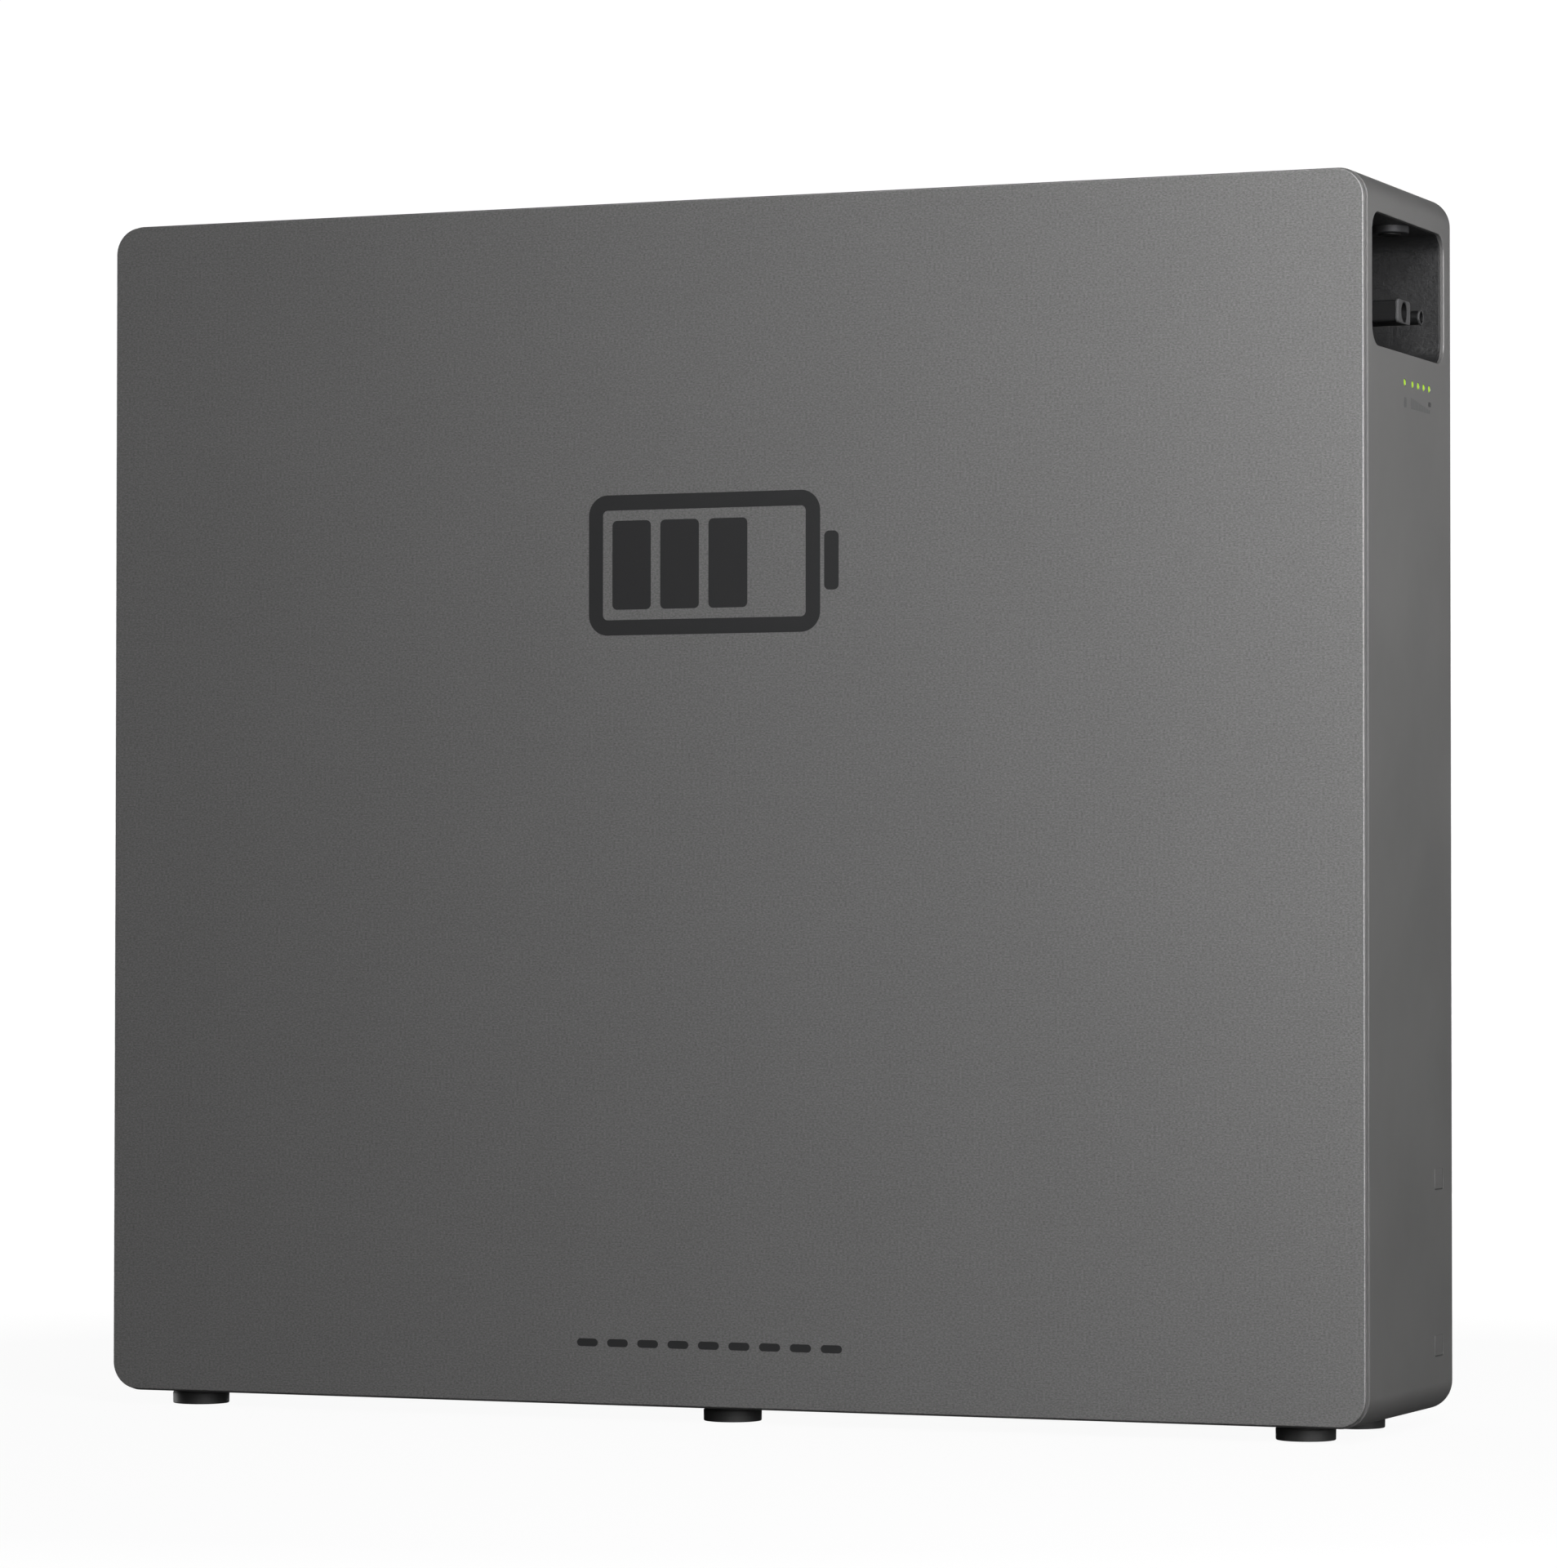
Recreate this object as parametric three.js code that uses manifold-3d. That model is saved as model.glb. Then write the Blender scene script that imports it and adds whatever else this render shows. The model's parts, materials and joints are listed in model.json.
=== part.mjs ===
// Floor-standing home battery unit: a slab-like grey metal casing on six rubber feet.
// The right end holds a recessed connector pocket with a push button and a row of charge lights.
// Millimetres, +Z up, front towards -Y, origin on the floor under the middle of the casing.
import * as THREE from "three";
import { mergeVertices } from "three/addons/utils/BufferGeometryUtils.js";
import Module from "manifold-3d";

const wasm = await Module();
wasm.setup();

// ---- Driving dimensions ----
const CASE = { width: 788, height: 702, depth: 168, corner: 17, wall: 2.5 };
const FRONT_PANEL = { thickness: 3, inset: 1, chamfer: 1 };
const REAR_PANEL = { thickness: 2.5, setBack: 2, inset: 3, fieldWidth: 600, fieldHeight: 520, fieldDepth: 1.2 };
const FLANGE = { reach: 16, thickness: 2.5 };
const GASKET = { front: 1.4, rear: 1.6, setBack: 3, width: 11 };
const POCKET = { width: 141, height: 75, corner: 12, belowTop: 60.75, depth: 61.5, wall: 2, rim: 4 };
const FOOT = { radius: 17, height: 8.5, edge: 0.8, spanX: 349, frontY: -54, rearY: 40 };
const FOOT_SCREW = { hole: 2.05, shank: 1.75, head: 4, headBottom: 2.4, recess: 5.5, recessTop: 5.2, tip: 20 };
const BUTTON = { fromSide: 14.7, y: 12, travel: 2, bezelRadius: 10.75, barrelRadius: 7.8, capRadius: 6.55 };
const BUTTON_SEAT = 3.2; // height of the spring's seat above the ceiling
const BUTTON_HEAD_BACK = -2.4; // back of the cap's head below the ceiling
const BUTTON_TOP = 11; // top of the threaded barrel above the ceiling
const SOCKET_ROW = { belowTop: 73, setBack: 5 };
const POWER_SOCKET = { y: 8, width: 24, height: 13.6, bore: 5.3, boreDepth: 32, tailX: 312 };
const COMM_SOCKET = { y: 42, radius: 4.1, bore: 3.2, boreDepth: 12, tailX: 320 };
const EARTH = { y: -45, belowSockets: 8, hole: 3.3, shank: 3, washer: 6.5, head: 5.8 };
const VENT = { radius: 11, shank: 6 };
const LIGHTS = { belowTop: 114.6, radius: 2, statusY: -7.8, firstChargeY: 7.6, pitch: 11, chargeCount: 4 };
const WINDOW = { width: 15, height: 11.5, y: 56.5, aboveBottom: [134, 38.5] };
const CELLS = { perRow: 15, pitch: 27.73, width: 416, height: 142, depth: 142, centreX: -82, frontY: -72 };
const MODULE = { count: 4, pitch: 148, restZ: 25.1 };
const SIDE_FRAME = { width: 130, thickness: 8, gap: 1, y: -1 };
const RAIL = { length: 740, width: 40, height: 13.5, thickness: 2.5, hole: 2.05 };
const BAY = { x: 266, width: 228, plateFront: 60, plateBottom: 40, plateTop: 575 };
const BOARD = { y: 44, z: 470, width: 190, height: 150, thickness: 1.6 };
const RELAY = { positiveX: 314, negativeX: 212, z: 262, width: 62, height: 78, depth: 44 };
const TERMINAL = { x: 16, top: 48, radius: 5, setBack: 24 };
const FUSE = { z: 130, radius: 15, halfLength: 34, setBack: 20 };
const CABLE = { power: 3.4, comm: 2.5 };

const GAP = 0.3; // clearance between pieces that touch
const SKIN = 0.1; // clearance between flat faces that are clamped together

// ---- Places worked out from them ----
const SIDE_X = CASE.width / 2;
const HALF_H = CASE.height / 2;
const FRONT_Y = -CASE.depth / 2;
const REAR_Y = CASE.depth / 2;
const CENTRE_Z = FOOT.height + HALF_H;
const INNER_SIDE_X = SIDE_X - CASE.wall;
const WRAP_FRONT_Y = FRONT_Y + FRONT_PANEL.thickness + GASKET.front + 2 * SKIN;
const PANEL_BACK_Y = REAR_Y - REAR_PANEL.setBack;
const REAR_FLANGE_Y = PANEL_BACK_Y - REAR_PANEL.thickness - GASKET.rear - 4 * SKIN;
const POCKET_Z = HALF_H - POCKET.belowTop;
const POCKET_MOUTH_X = INNER_SIDE_X - GAP;
const POCKET_FLOOR_X = POCKET_MOUTH_X - POCKET.depth;
const SOCKET_Z = HALF_H - SOCKET_ROW.belowTop;
const SOCKET_FACE_X = SIDE_X - SOCKET_ROW.setBack;
const EARTH_Z = SOCKET_Z - EARTH.belowSockets;
const LIGHT_Z = HALF_H - LIGHTS.belowTop;

// ---- Materials ----
const paint = (color, roughness, metalness) => new THREE.MeshStandardMaterial({ color, roughness, metalness });
const MATERIAL = {
  panel: paint(0x6c6c6d, 0.45, 0.6),
  casing: paint(0x69696a, 0.4, 0.5),
  backPlate: paint(0x5e5f60, 0.5, 0.6),
  blackPlastic: paint(0x242425, 0.6, 0),
  rubber: paint(0x161616, 0.8, 0),
  seal: paint(0x1c1c1c, 0.85, 0),
  zinc: paint(0x9a9b9c, 0.35, 1),
  steel: paint(0xa9abad, 0.3, 1),
  brass: paint(0xb08d3e, 0.35, 1),
  light: paint(0xa6e02a, 0.3, 0),
  circuitBoard: paint(0x1f5a34, 0.5, 0),
  cellWrap: paint(0x2c5a9c, 0.5, 0.1),
  busbarCarrier: paint(0xd9d4c6, 0.6, 0),
  relay: paint(0x30343a, 0.5, 0),
  fuse: paint(0xe6e1d3, 0.5, 0),
  redCable: paint(0xb3201c, 0.5, 0),
  blackCable: paint(0x1b1b1c, 0.55, 0),
};

// ---- Shape helpers ----
function roundedRectangle(width, height, radius, steps = 4) {
  const points = [];
  const corners = [[1, 1, 0], [-1, 1, 90], [-1, -1, 180], [1, -1, 270]];
  for (const [sideX, sideY, start] of corners) {
    for (let i = 0; i <= steps; i++) {
      const angle = THREE.MathUtils.degToRad(start + (90 * i) / steps);
      const x = sideX * (width / 2 - radius) + radius * Math.cos(angle);
      const y = sideY * (height / 2 - radius) + radius * Math.sin(angle);
      points.push(new THREE.Vector2(x, y));
    }
  }
  return points;
}

// A closed solid through outlines of equal point count, stacked along +Z.
function stack(sections) {
  const count = sections[0].outline.length;
  const positions = sections.flatMap(({ at, outline }) => outline.flatMap((p) => [p.x, p.y, at]));
  const index = [];
  for (let s = 0; s + 1 < sections.length; s++) {
    for (let i = 0; i < count; i++) {
      const a = s * count + i;
      const b = s * count + ((i + 1) % count);
      index.push(a, b, b + count, a, b + count, a + count);
    }
  }
  const last = (sections.length - 1) * count;
  for (const [a, b, c] of THREE.ShapeUtils.triangulateShape(sections[0].outline, [])) {
    index.push(c, b, a);
    index.push(last + a, last + b, last + c);
  }
  const geometry = new THREE.BufferGeometry();
  geometry.setAttribute("position", new THREE.Float32BufferAttribute(positions, 3));
  geometry.setIndex(index);
  return geometry;
}

// A rounded-rectangle slab from one height to another, with an optional chamfer at either end.
function slab({ width, height, radius, from, to, chamferFrom = 0, chamferTo = 0, steps }) {
  const inset = (d) => roundedRectangle(width - 2 * d, height - 2 * d, radius - d, steps);
  const sections = [];
  if (chamferFrom) sections.push({ at: from, outline: inset(chamferFrom) });
  sections.push({ at: from + chamferFrom, outline: inset(0) });
  sections.push({ at: to - chamferTo, outline: inset(0) });
  if (chamferTo) sections.push({ at: to, outline: inset(chamferTo) });
  return stack(sections);
}

// Turn a solid built along +Z so that it runs along +Y or +X, its second direction staying +Z.
const axes = (x, y, z) => new THREE.Matrix4().makeBasis(x, y, z);
const TO_Y = axes(new THREE.Vector3(-1, 0, 0), new THREE.Vector3(0, 0, 1), new THREE.Vector3(0, 1, 0));
const TO_X = axes(new THREE.Vector3(0, 1, 0), new THREE.Vector3(0, 0, 1), new THREE.Vector3(1, 0, 0));
const alongY = (geometry) => geometry.applyMatrix4(TO_Y);
const alongX = (geometry) => geometry.applyMatrix4(TO_X);

// A turned piece about +Z from [radius, height] pairs, listed up its outside.
function turned(profile, segments = 24) {
  const points = profile.map(([r, z]) => new THREE.Vector2(r, z));
  return new THREE.LatheGeometry(points, segments).rotateX(Math.PI / 2);
}

// A turned piece whose profile closes on itself, so that a hole runs through it.
const turnedRing = (profile, segments) => turned([...profile, profile[0]], segments);

function rod(radius, from, to, segments = 16) {
  const length = to - from;
  const cylinder = new THREE.CylinderGeometry(radius, radius, length, segments).rotateX(Math.PI / 2);
  return cylinder.translate(0, 0, from + length / 2);
}

function block(sizeX, sizeY, sizeZ, x, y, z) {
  return new THREE.BoxGeometry(sizeX, sizeY, sizeZ).translate(x, y, z);
}

function tube(points, radius, sides = 8, steps = 24) {
  const path = new THREE.CatmullRomCurve3(points.map(([x, y, z]) => new THREE.Vector3(x, y, z)));
  const section = new THREE.Shape();
  for (let i = 0; i < sides; i++) {
    const angle = (2 * Math.PI * i) / sides;
    const method = i === 0 ? "moveTo" : "lineTo";
    section[method](radius * Math.cos(angle), radius * Math.sin(angle));
  }
  return new THREE.ExtrudeGeometry(section, { steps, extrudePath: path, bevelEnabled: false });
}

// ---- Joins and cuts ----
function solidOf(geometry) {
  const bare = geometry.clone();
  bare.deleteAttribute("normal");
  bare.deleteAttribute("uv");
  const merged = mergeVertices(bare, 1e-4);
  const corners = [];
  for (let i = 0; i < merged.index.count; i += 3) {
    const [a, b, c] = [0, 1, 2].map((k) => merged.index.getX(i + k));
    if (a !== b && b !== c && c !== a) corners.push(a, b, c);
  }
  const vertProperties = new Float32Array(merged.attributes.position.array);
  return new wasm.Manifold(new wasm.Mesh({ numProp: 3, vertProperties, triVerts: new Uint32Array(corners) }));
}

function geometryOf(solid) {
  const mesh = solid.getMesh();
  const geometry = new THREE.BufferGeometry();
  geometry.setAttribute("position", new THREE.BufferAttribute(new Float32Array(mesh.vertProperties), 3));
  geometry.setIndex(new THREE.BufferAttribute(new Uint32Array(mesh.triVerts), 1));
  return geometry;
}

function combine(base, { add = [], cut = [] }) {
  let solid = solidOf(base);
  for (const piece of add) solid = solid.add(solidOf(piece));
  for (const piece of cut) solid = solid.subtract(solidOf(piece));
  return geometryOf(solid);
}

function place(group, name, geometry, material, x = 0, y = 0, z = 0) {
  geometry.computeVertexNormals();
  const mesh = new THREE.Mesh(geometry, material);
  mesh.name = name;
  mesh.position.set(x, y, z);
  group.add(mesh);
  return mesh;
}

function groupAt(x = 0, y = 0, z = 0) {
  const group = new THREE.Group();
  group.position.set(x, y, z);
  return group;
}

const footPlaces = () => {
  const places = [];
  for (const [row, y] of [["front", FOOT.frontY], ["rear", FOOT.rearY]]) {
    for (const [column, x] of [["left", -FOOT.spanX], ["middle", 0], ["right", FOOT.spanX]]) {
      places.push({ name: `${row}_${column}`, x, y });
    }
  }
  return places;
};

const lightPlaces = () => {
  const places = [{ name: "status", y: LIGHTS.statusY }];
  for (let i = 0; i < LIGHTS.chargeCount; i++) {
    places.push({ name: `charge_${i + 1}`, y: LIGHTS.firstChargeY + i * LIGHTS.pitch });
  }
  return places;
};

// ---- Casing: wrap, front panel, rear panel and their seals (about the casing's centre) ----
const sheet = (inset, radius, from, to, extra = {}) =>
  alongY(slab({ width: CASE.width - 2 * inset, height: CASE.height - 2 * inset, radius, from, to, steps: 8,
    ...extra }));

function pocketOutline(grow, from, to, rim = 0) {
  const width = POCKET.width + 2 * grow;
  const height = POCKET.height + 2 * grow + 2 * rim;
  return alongX(slab({ width, height, radius: POCKET.corner + grow / 2, from, to, steps: 5 }));
}

function casingWrap() {
  const cavityRadius = CASE.corner - CASE.wall;
  const past = 10;
  const outside = sheet(0, CASE.corner, WRAP_FRONT_Y, REAR_Y, { chamferFrom: 0.8, chamferTo: 1 });
  const cavity = sheet(CASE.wall, cavityRadius, WRAP_FRONT_Y + FLANGE.thickness,
    REAR_FLANGE_Y - FLANGE.thickness);
  const mouth = sheet(FLANGE.reach, 5, FRONT_Y - past, REAR_Y + past);
  const rearRecess = sheet(CASE.wall, cavityRadius, REAR_FLANGE_Y, REAR_Y + past);
  const pocketHole = (side) =>
    pocketOutline(0, side * SIDE_X - past, side * SIDE_X + past).translate(0, 0, POCKET_Z);
  const lightHoles = lightPlaces().map(({ y }) =>
    alongX(rod(LIGHTS.radius + 0.2, SIDE_X - past, SIDE_X + past)).translate(0, y, LIGHT_Z));
  const windows = WINDOW.aboveBottom.map((height) =>
    alongX(slab({ width: WINDOW.width + 2 * GAP, height: WINDOW.height + 2 * GAP, radius: 1.3,
      from: SIDE_X - past, to: SIDE_X + past, steps: 2 })).translate(0, WINDOW.y, height - HALF_H));
  const footHoles = footPlaces().map(({ x, y }) =>
    rod(FOOT_SCREW.hole, -past, past, 12).translate(x, y, -HALF_H));
  const pockets = [pocketHole(1), pocketHole(-1)];
  const cut = [cavity, mouth, rearRecess, ...pockets, ...lightHoles, ...windows, ...footHoles];
  return combine(outside, { cut });
}

function rearPanel() {
  const plate = sheet(REAR_PANEL.inset, CASE.corner - REAR_PANEL.inset, PANEL_BACK_Y - REAR_PANEL.thickness,
    PANEL_BACK_Y, { chamferTo: 0.5 });
  const field = alongY(slab({ width: REAR_PANEL.fieldWidth + 8, height: REAR_PANEL.fieldHeight + 8, radius: 22,
    from: PANEL_BACK_Y - REAR_PANEL.fieldDepth, to: PANEL_BACK_Y + 2.8, chamferFrom: 4 }));
  return combine(plate, { cut: [field] });
}

function sealRing(outerInset, from, to) {
  const steps = 4;
  const inner = sheet(outerInset + GASKET.width, 6, from - 1, to + 1, { steps });
  return combine(sheet(outerInset, CASE.corner - outerInset, from, to, { steps }), { cut: [inner] });
}

function buildCasing(casing) {
  const frontPanel = sheet(FRONT_PANEL.inset, CASE.corner - FRONT_PANEL.inset, FRONT_Y,
    FRONT_Y + FRONT_PANEL.thickness, { chamferFrom: FRONT_PANEL.chamfer });
  const frontSeal = sealRing(GASKET.setBack, WRAP_FRONT_Y - SKIN - GASKET.front, WRAP_FRONT_Y - SKIN);
  const rearSeal = sealRing(GASKET.setBack, REAR_FLANGE_Y + SKIN, REAR_FLANGE_Y + SKIN + GASKET.rear);
  place(casing, "casing_wrap", casingWrap(), MATERIAL.casing);
  place(casing, "front_panel", frontPanel, MATERIAL.panel);
  place(casing, "front_gasket", frontSeal, MATERIAL.seal);
  place(casing, "rear_panel", rearPanel(), MATERIAL.backPlate);
  place(casing, "rear_gasket", rearSeal, MATERIAL.seal);
}

// ---- Pocket trays: open boxes behind the side openings ----
function pocketTray(holes) {
  const grow = POCKET.wall;
  const box = pocketOutline(grow, POCKET_FLOOR_X - POCKET.wall, POCKET_MOUTH_X);
  const rim = pocketOutline(grow, POCKET_MOUTH_X - 2.3, POCKET_MOUTH_X, POCKET.rim);
  const cavity = pocketOutline(0, POCKET_FLOOR_X, SIDE_X + 5);
  return combine(box, { add: [rim], cut: [cavity, ...holes] });
}

function buildPockets(casing) {
  const inPocket = (geometry, y, z) => geometry.translate(0, y, z - POCKET_Z);
  const floorFrom = POCKET_FLOOR_X - 6;
  const floorTo = POCKET_FLOOR_X + 2;
  const socketHole = alongX(slab({ width: POWER_SOCKET.width - 0.6, height: POWER_SOCKET.height, radius: 1.8,
    from: floorFrom, to: floorTo, steps: 2 }));
  const commHole = alongX(rod(COMM_SOCKET.radius + GAP, floorFrom, floorTo, 20));
  const earthHole = alongX(rod(EARTH.hole, floorFrom, floorTo));
  const buttonHole = rod(BUTTON.barrelRadius + GAP, POCKET.height / 2 - 4, POCKET.height / 2 + 4, 24);
  const rightHoles = [
    inPocket(socketHole, POWER_SOCKET.y, SOCKET_Z),
    inPocket(commHole, COMM_SOCKET.y, SOCKET_Z),
    inPocket(earthHole, EARTH.y, EARTH_Z),
    buttonHole.translate(SIDE_X - BUTTON.fromSide, BUTTON.y, 0),
  ];
  const ventHole = alongX(rod(VENT.shank + GAP, floorFrom, floorTo));
  place(casing, "right_pocket_tray", pocketTray(rightHoles), MATERIAL.blackPlastic, 0, 0, POCKET_Z);
  const left = place(casing, "left_pocket_tray", pocketTray([ventHole]), MATERIAL.blackPlastic, 0, 0, POCKET_Z);
  left.rotation.z = Math.PI;
}

// ---- Push button, pressed upwards from under the pocket's ceiling ----
function springCoil() {
  const turns = 3;
  const wire = 0.35;
  const radius = 5;
  const from = BUTTON_HEAD_BACK + wire + SKIN;
  const to = BUTTON_SEAT - wire - SKIN;
  const points = [];
  const steps = turns * 9;
  for (let i = 0; i <= steps; i++) {
    const angle = (2 * Math.PI * turns * i) / steps;
    points.push([radius * Math.cos(angle), radius * Math.sin(angle), from + ((to - from) * i) / steps]);
  }
  return tube(points, wire, 6, steps);
}

function buildButton(casing) {
  const button = groupAt(SIDE_X - BUTTON.fromSide, BUTTON.y, POCKET_Z + POCKET.height / 2);
  const face = -4.45;
  const guide = 3;
  const collar = 6.5;
  const bezel = turnedRing([
    [BUTTON.capRadius + GAP, face], [BUTTON.bezelRadius - 0.6, face], [BUTTON.bezelRadius, face + 0.6],
    [BUTTON.bezelRadius, -SKIN], [BUTTON.barrelRadius, -SKIN], [BUTTON.barrelRadius, BUTTON_TOP],
    [5, BUTTON_TOP], [5, collar], [guide, collar], [guide, BUTTON_SEAT], [BUTTON.capRadius + GAP, BUTTON_SEAT],
  ], 20);
  const cap = turned([
    [0, face - 0.9], [BUTTON.capRadius - 0.7, face - 0.9], [BUTTON.capRadius, face - 0.3],
    [BUTTON.capRadius, BUTTON_HEAD_BACK], [guide - GAP, BUTTON_HEAD_BACK], [guide - GAP, collar + 0.2],
    [3.8, collar + 0.2], [2.2, collar + 1.4], [2.2, BUTTON_TOP - BUTTON.travel],
    [0, BUTTON_TOP - BUTTON.travel],
  ], 20);
  const nutFrom = POCKET.wall + 0.2;
  const nut = combine(rod(10.4, nutFrom, nutFrom + 4, 6), { cut: [rod(BUTTON.barrelRadius + 0.2, 0, 10, 24)] });
  const tag = (x) => block(1.2, 4, 1.4, x, 0, BUTTON_TOP + 5.6);
  const contactBlock = combine(rod(6.5, BUTTON_TOP + GAP, BUTTON_TOP + 5, 20), { add: [tag(-3), tag(3)] });
  place(button, "button_bezel", bezel, MATERIAL.steel);
  place(button, "power_button", cap, MATERIAL.blackPlastic);
  place(button, "button_spring", springCoil(), MATERIAL.steel);
  place(button, "button_nut", nut, MATERIAL.steel);
  place(button, "power_switch", contactBlock, MATERIAL.blackPlastic);
  casing.add(button);
}

// ---- Sockets, earth stud and breather vent on the pocket floors ----
function buildPowerSocket(casing) {
  const { width, height, bore, boreDepth, tailX } = POWER_SOCKET;
  const faceThickness = 1.6;
  const bodyFront = SOCKET_FACE_X - faceThickness - 0.2;
  const boreEnd = SOCKET_FACE_X - boreDepth;
  const group = groupAt(0, POWER_SOCKET.y, SOCKET_Z);
  const boreRod = () => alongX(rod(bore, boreEnd, SOCKET_FACE_X + 1, 20));
  const shaft = slab({ width: width - 1.4, height: height - 1, radius: 1.5, from: tailX, to: bodyFront,
    steps: 2 });
  const collar = slab({ width: 34, height: 22, radius: 3, from: POCKET_FLOOR_X + 0.2, to: POCKET_FLOOR_X + 3.2,
    chamferTo: 0.6, steps: 3 });
  const facePlate = slab({ width, height, radius: 2.4, from: bodyFront + 0.2, to: SOCKET_FACE_X, chamferTo: 0.4,
    steps: 3 });
  const pin = (y) => alongX(rod(1.2, boreEnd + 2, boreEnd + 14, 10)).translate(0, y, 0);
  const insert = alongX(rod(bore - GAP, boreEnd + GAP, boreEnd + 3));
  place(group, "power_socket_body", combine(alongX(shaft), { add: [alongX(collar)], cut: [boreRod()] }),
    MATERIAL.blackPlastic);
  place(group, "power_socket_face", combine(alongX(facePlate), { cut: [boreRod()] }), MATERIAL.zinc);
  place(group, "power_socket_contacts", combine(insert, { add: [pin(-2.2), pin(2.2)] }), MATERIAL.brass);
  casing.add(group);
}

function buildCommSocket(casing) {
  const { radius, bore, boreDepth, tailX } = COMM_SOCKET;
  const ringThickness = 1.2;
  const front = SOCKET_FACE_X - ringThickness - 0.2;
  const boreEnd = SOCKET_FACE_X - boreDepth;
  const flangeFrom = POCKET_FLOOR_X + 0.2;
  const group = groupAt(0, COMM_SOCKET.y, SOCKET_Z);
  const body = turned([
    [0, tailX], [radius, tailX], [radius, flangeFrom], [8, flangeFrom], [8, flangeFrom + 2.5],
    [radius, flangeFrom + 2.5], [radius, front], [bore, front], [bore, boreEnd], [0, boreEnd],
  ], 16);
  const ring = turnedRing([
    [bore, front + 0.2], [radius + 0.2, front + 0.2], [radius + 0.2, SOCKET_FACE_X - 0.3],
    [radius - 0.1, SOCKET_FACE_X], [bore, SOCKET_FACE_X],
  ], 16);
  const pins = [0, 90, 180, 270].map((degrees) => {
    const angle = THREE.MathUtils.degToRad(degrees + 45);
    const pin = alongX(rod(0.4, boreEnd + 1, boreEnd + 5, 6));
    return pin.translate(0, 1.6 * Math.cos(angle), 1.6 * Math.sin(angle));
  });
  const insert = alongX(rod(bore - 0.2, boreEnd + 0.2, boreEnd + 1.6));
  place(group, "comm_socket_body", alongX(body), MATERIAL.blackPlastic);
  place(group, "comm_socket_ring", alongX(ring), MATERIAL.zinc);
  place(group, "comm_socket_pins", combine(insert, { add: pins }), MATERIAL.brass);
  casing.add(group);
}

function buildFloorFittings(casing) {
  const washerFrom = POCKET_FLOOR_X + SKIN;
  const head = alongX(rod(EARTH.head, washerFrom + 1, washerFrom + 5.2, 6));
  const washer = alongX(rod(EARTH.washer, washerFrom, washerFrom + 1.2, 20));
  const shank = alongX(rod(EARTH.shank, POCKET_FLOOR_X - 12, washerFrom + 1, 12));
  place(casing, "earth_stud", combine(washer, { add: [head, shank] }), MATERIAL.steel, 0, EARTH.y, EARTH_Z);
  const vent = turned([
    [0, POCKET_FLOOR_X - 6], [VENT.shank, POCKET_FLOOR_X - 6], [VENT.shank, washerFrom],
    [VENT.radius, washerFrom], [VENT.radius, washerFrom + 4], [VENT.radius - 1.5, washerFrom + 5.5],
    [0, washerFrom + 5.5],
  ], 18);
  place(casing, "breather_vent", alongX(vent), MATERIAL.blackPlastic, 0, 0, POCKET_Z).rotation.z = Math.PI;
}

// ---- Charge lights and the covered windows on the right side ----
function buildLights(casing) {
  const { radius } = LIGHTS;
  const shoulder = INNER_SIDE_X - GAP;
  const back = SIDE_X - 8.5;
  const pipe = () => turned([
    [0, back], [radius, back], [radius, shoulder - 3], [radius + 1.2, shoulder - 3], [radius + 1.2, shoulder],
    [radius, shoulder], [radius, SIDE_X - 0.3], [radius - 0.3, SIDE_X], [0, SIDE_X],
  ], 12);
  const boardFront = back - 1.9;
  const centreY = (LIGHTS.statusY + LIGHTS.firstChargeY + (LIGHTS.chargeCount - 1) * LIGHTS.pitch) / 2;
  const board = alongX(slab({ width: 62, height: 12, radius: 1, from: boardFront - BOARD.thickness,
    to: boardFront, steps: 2 }));
  const lamps = [];
  for (const { name, y } of lightPlaces()) {
    place(casing, `light_pipe_${name}`, alongX(pipe()), MATERIAL.light, 0, y, LIGHT_Z);
    lamps.push(block(1.6, 3, 3, boardFront + 0.6, y - centreY, 0));
  }
  place(casing, "light_board", combine(board, { add: lamps }), MATERIAL.circuitBoard, 0, centreY, LIGHT_Z);
}

function buildWindowPlugs(casing) {
  const { width, height } = WINDOW;
  const shoulder = INNER_SIDE_X - GAP;
  WINDOW.aboveBottom.forEach((aboveBottom, i) => {
    const plug = alongX(slab({ width, height, radius: 1, from: shoulder - 1, to: SIDE_X - 0.4, chamferTo: 0.3,
      steps: 2 }));
    const lip = alongX(slab({ width: width + 4, height: height + 4, radius: 2, from: shoulder - 1.6,
      to: shoulder, steps: 2 }));
    const name = `window_plug_${["upper", "lower"][i]}`;
    place(casing, name, combine(plug, { add: [lip] }), MATERIAL.casing, 0, WINDOW.y, aboveBottom - HALF_H);
  });
}

// ---- Feet, their screws and the two rails that they hold (about the floor) ----
function buildFeet(unit) {
  const { radius, height, edge } = FOOT;
  const { hole, shank, head, headBottom, recess, recessTop, tip } = FOOT_SCREW;
  const top = height - 0.2;
  const seat = recessTop - SKIN;
  for (const { name, x, y } of footPlaces()) {
    const foot = turnedRing([
      [recess, 0], [radius - edge, 0], [radius, edge], [radius, top - 0.4], [radius - 0.4, top], [hole, top],
      [hole, recessTop], [recess, recessTop],
    ], 16);
    const screw = turned([
      [0, headBottom], [head - 0.8, headBottom], [head, headBottom + 0.8], [head, seat], [shank, seat],
      [shank, tip], [0, tip],
    ], 10);
    place(unit, `foot_${name}`, foot, MATERIAL.rubber, x, y);
    place(unit, `foot_screw_${name}`, screw, MATERIAL.steel, x, y);
  }
}

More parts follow.
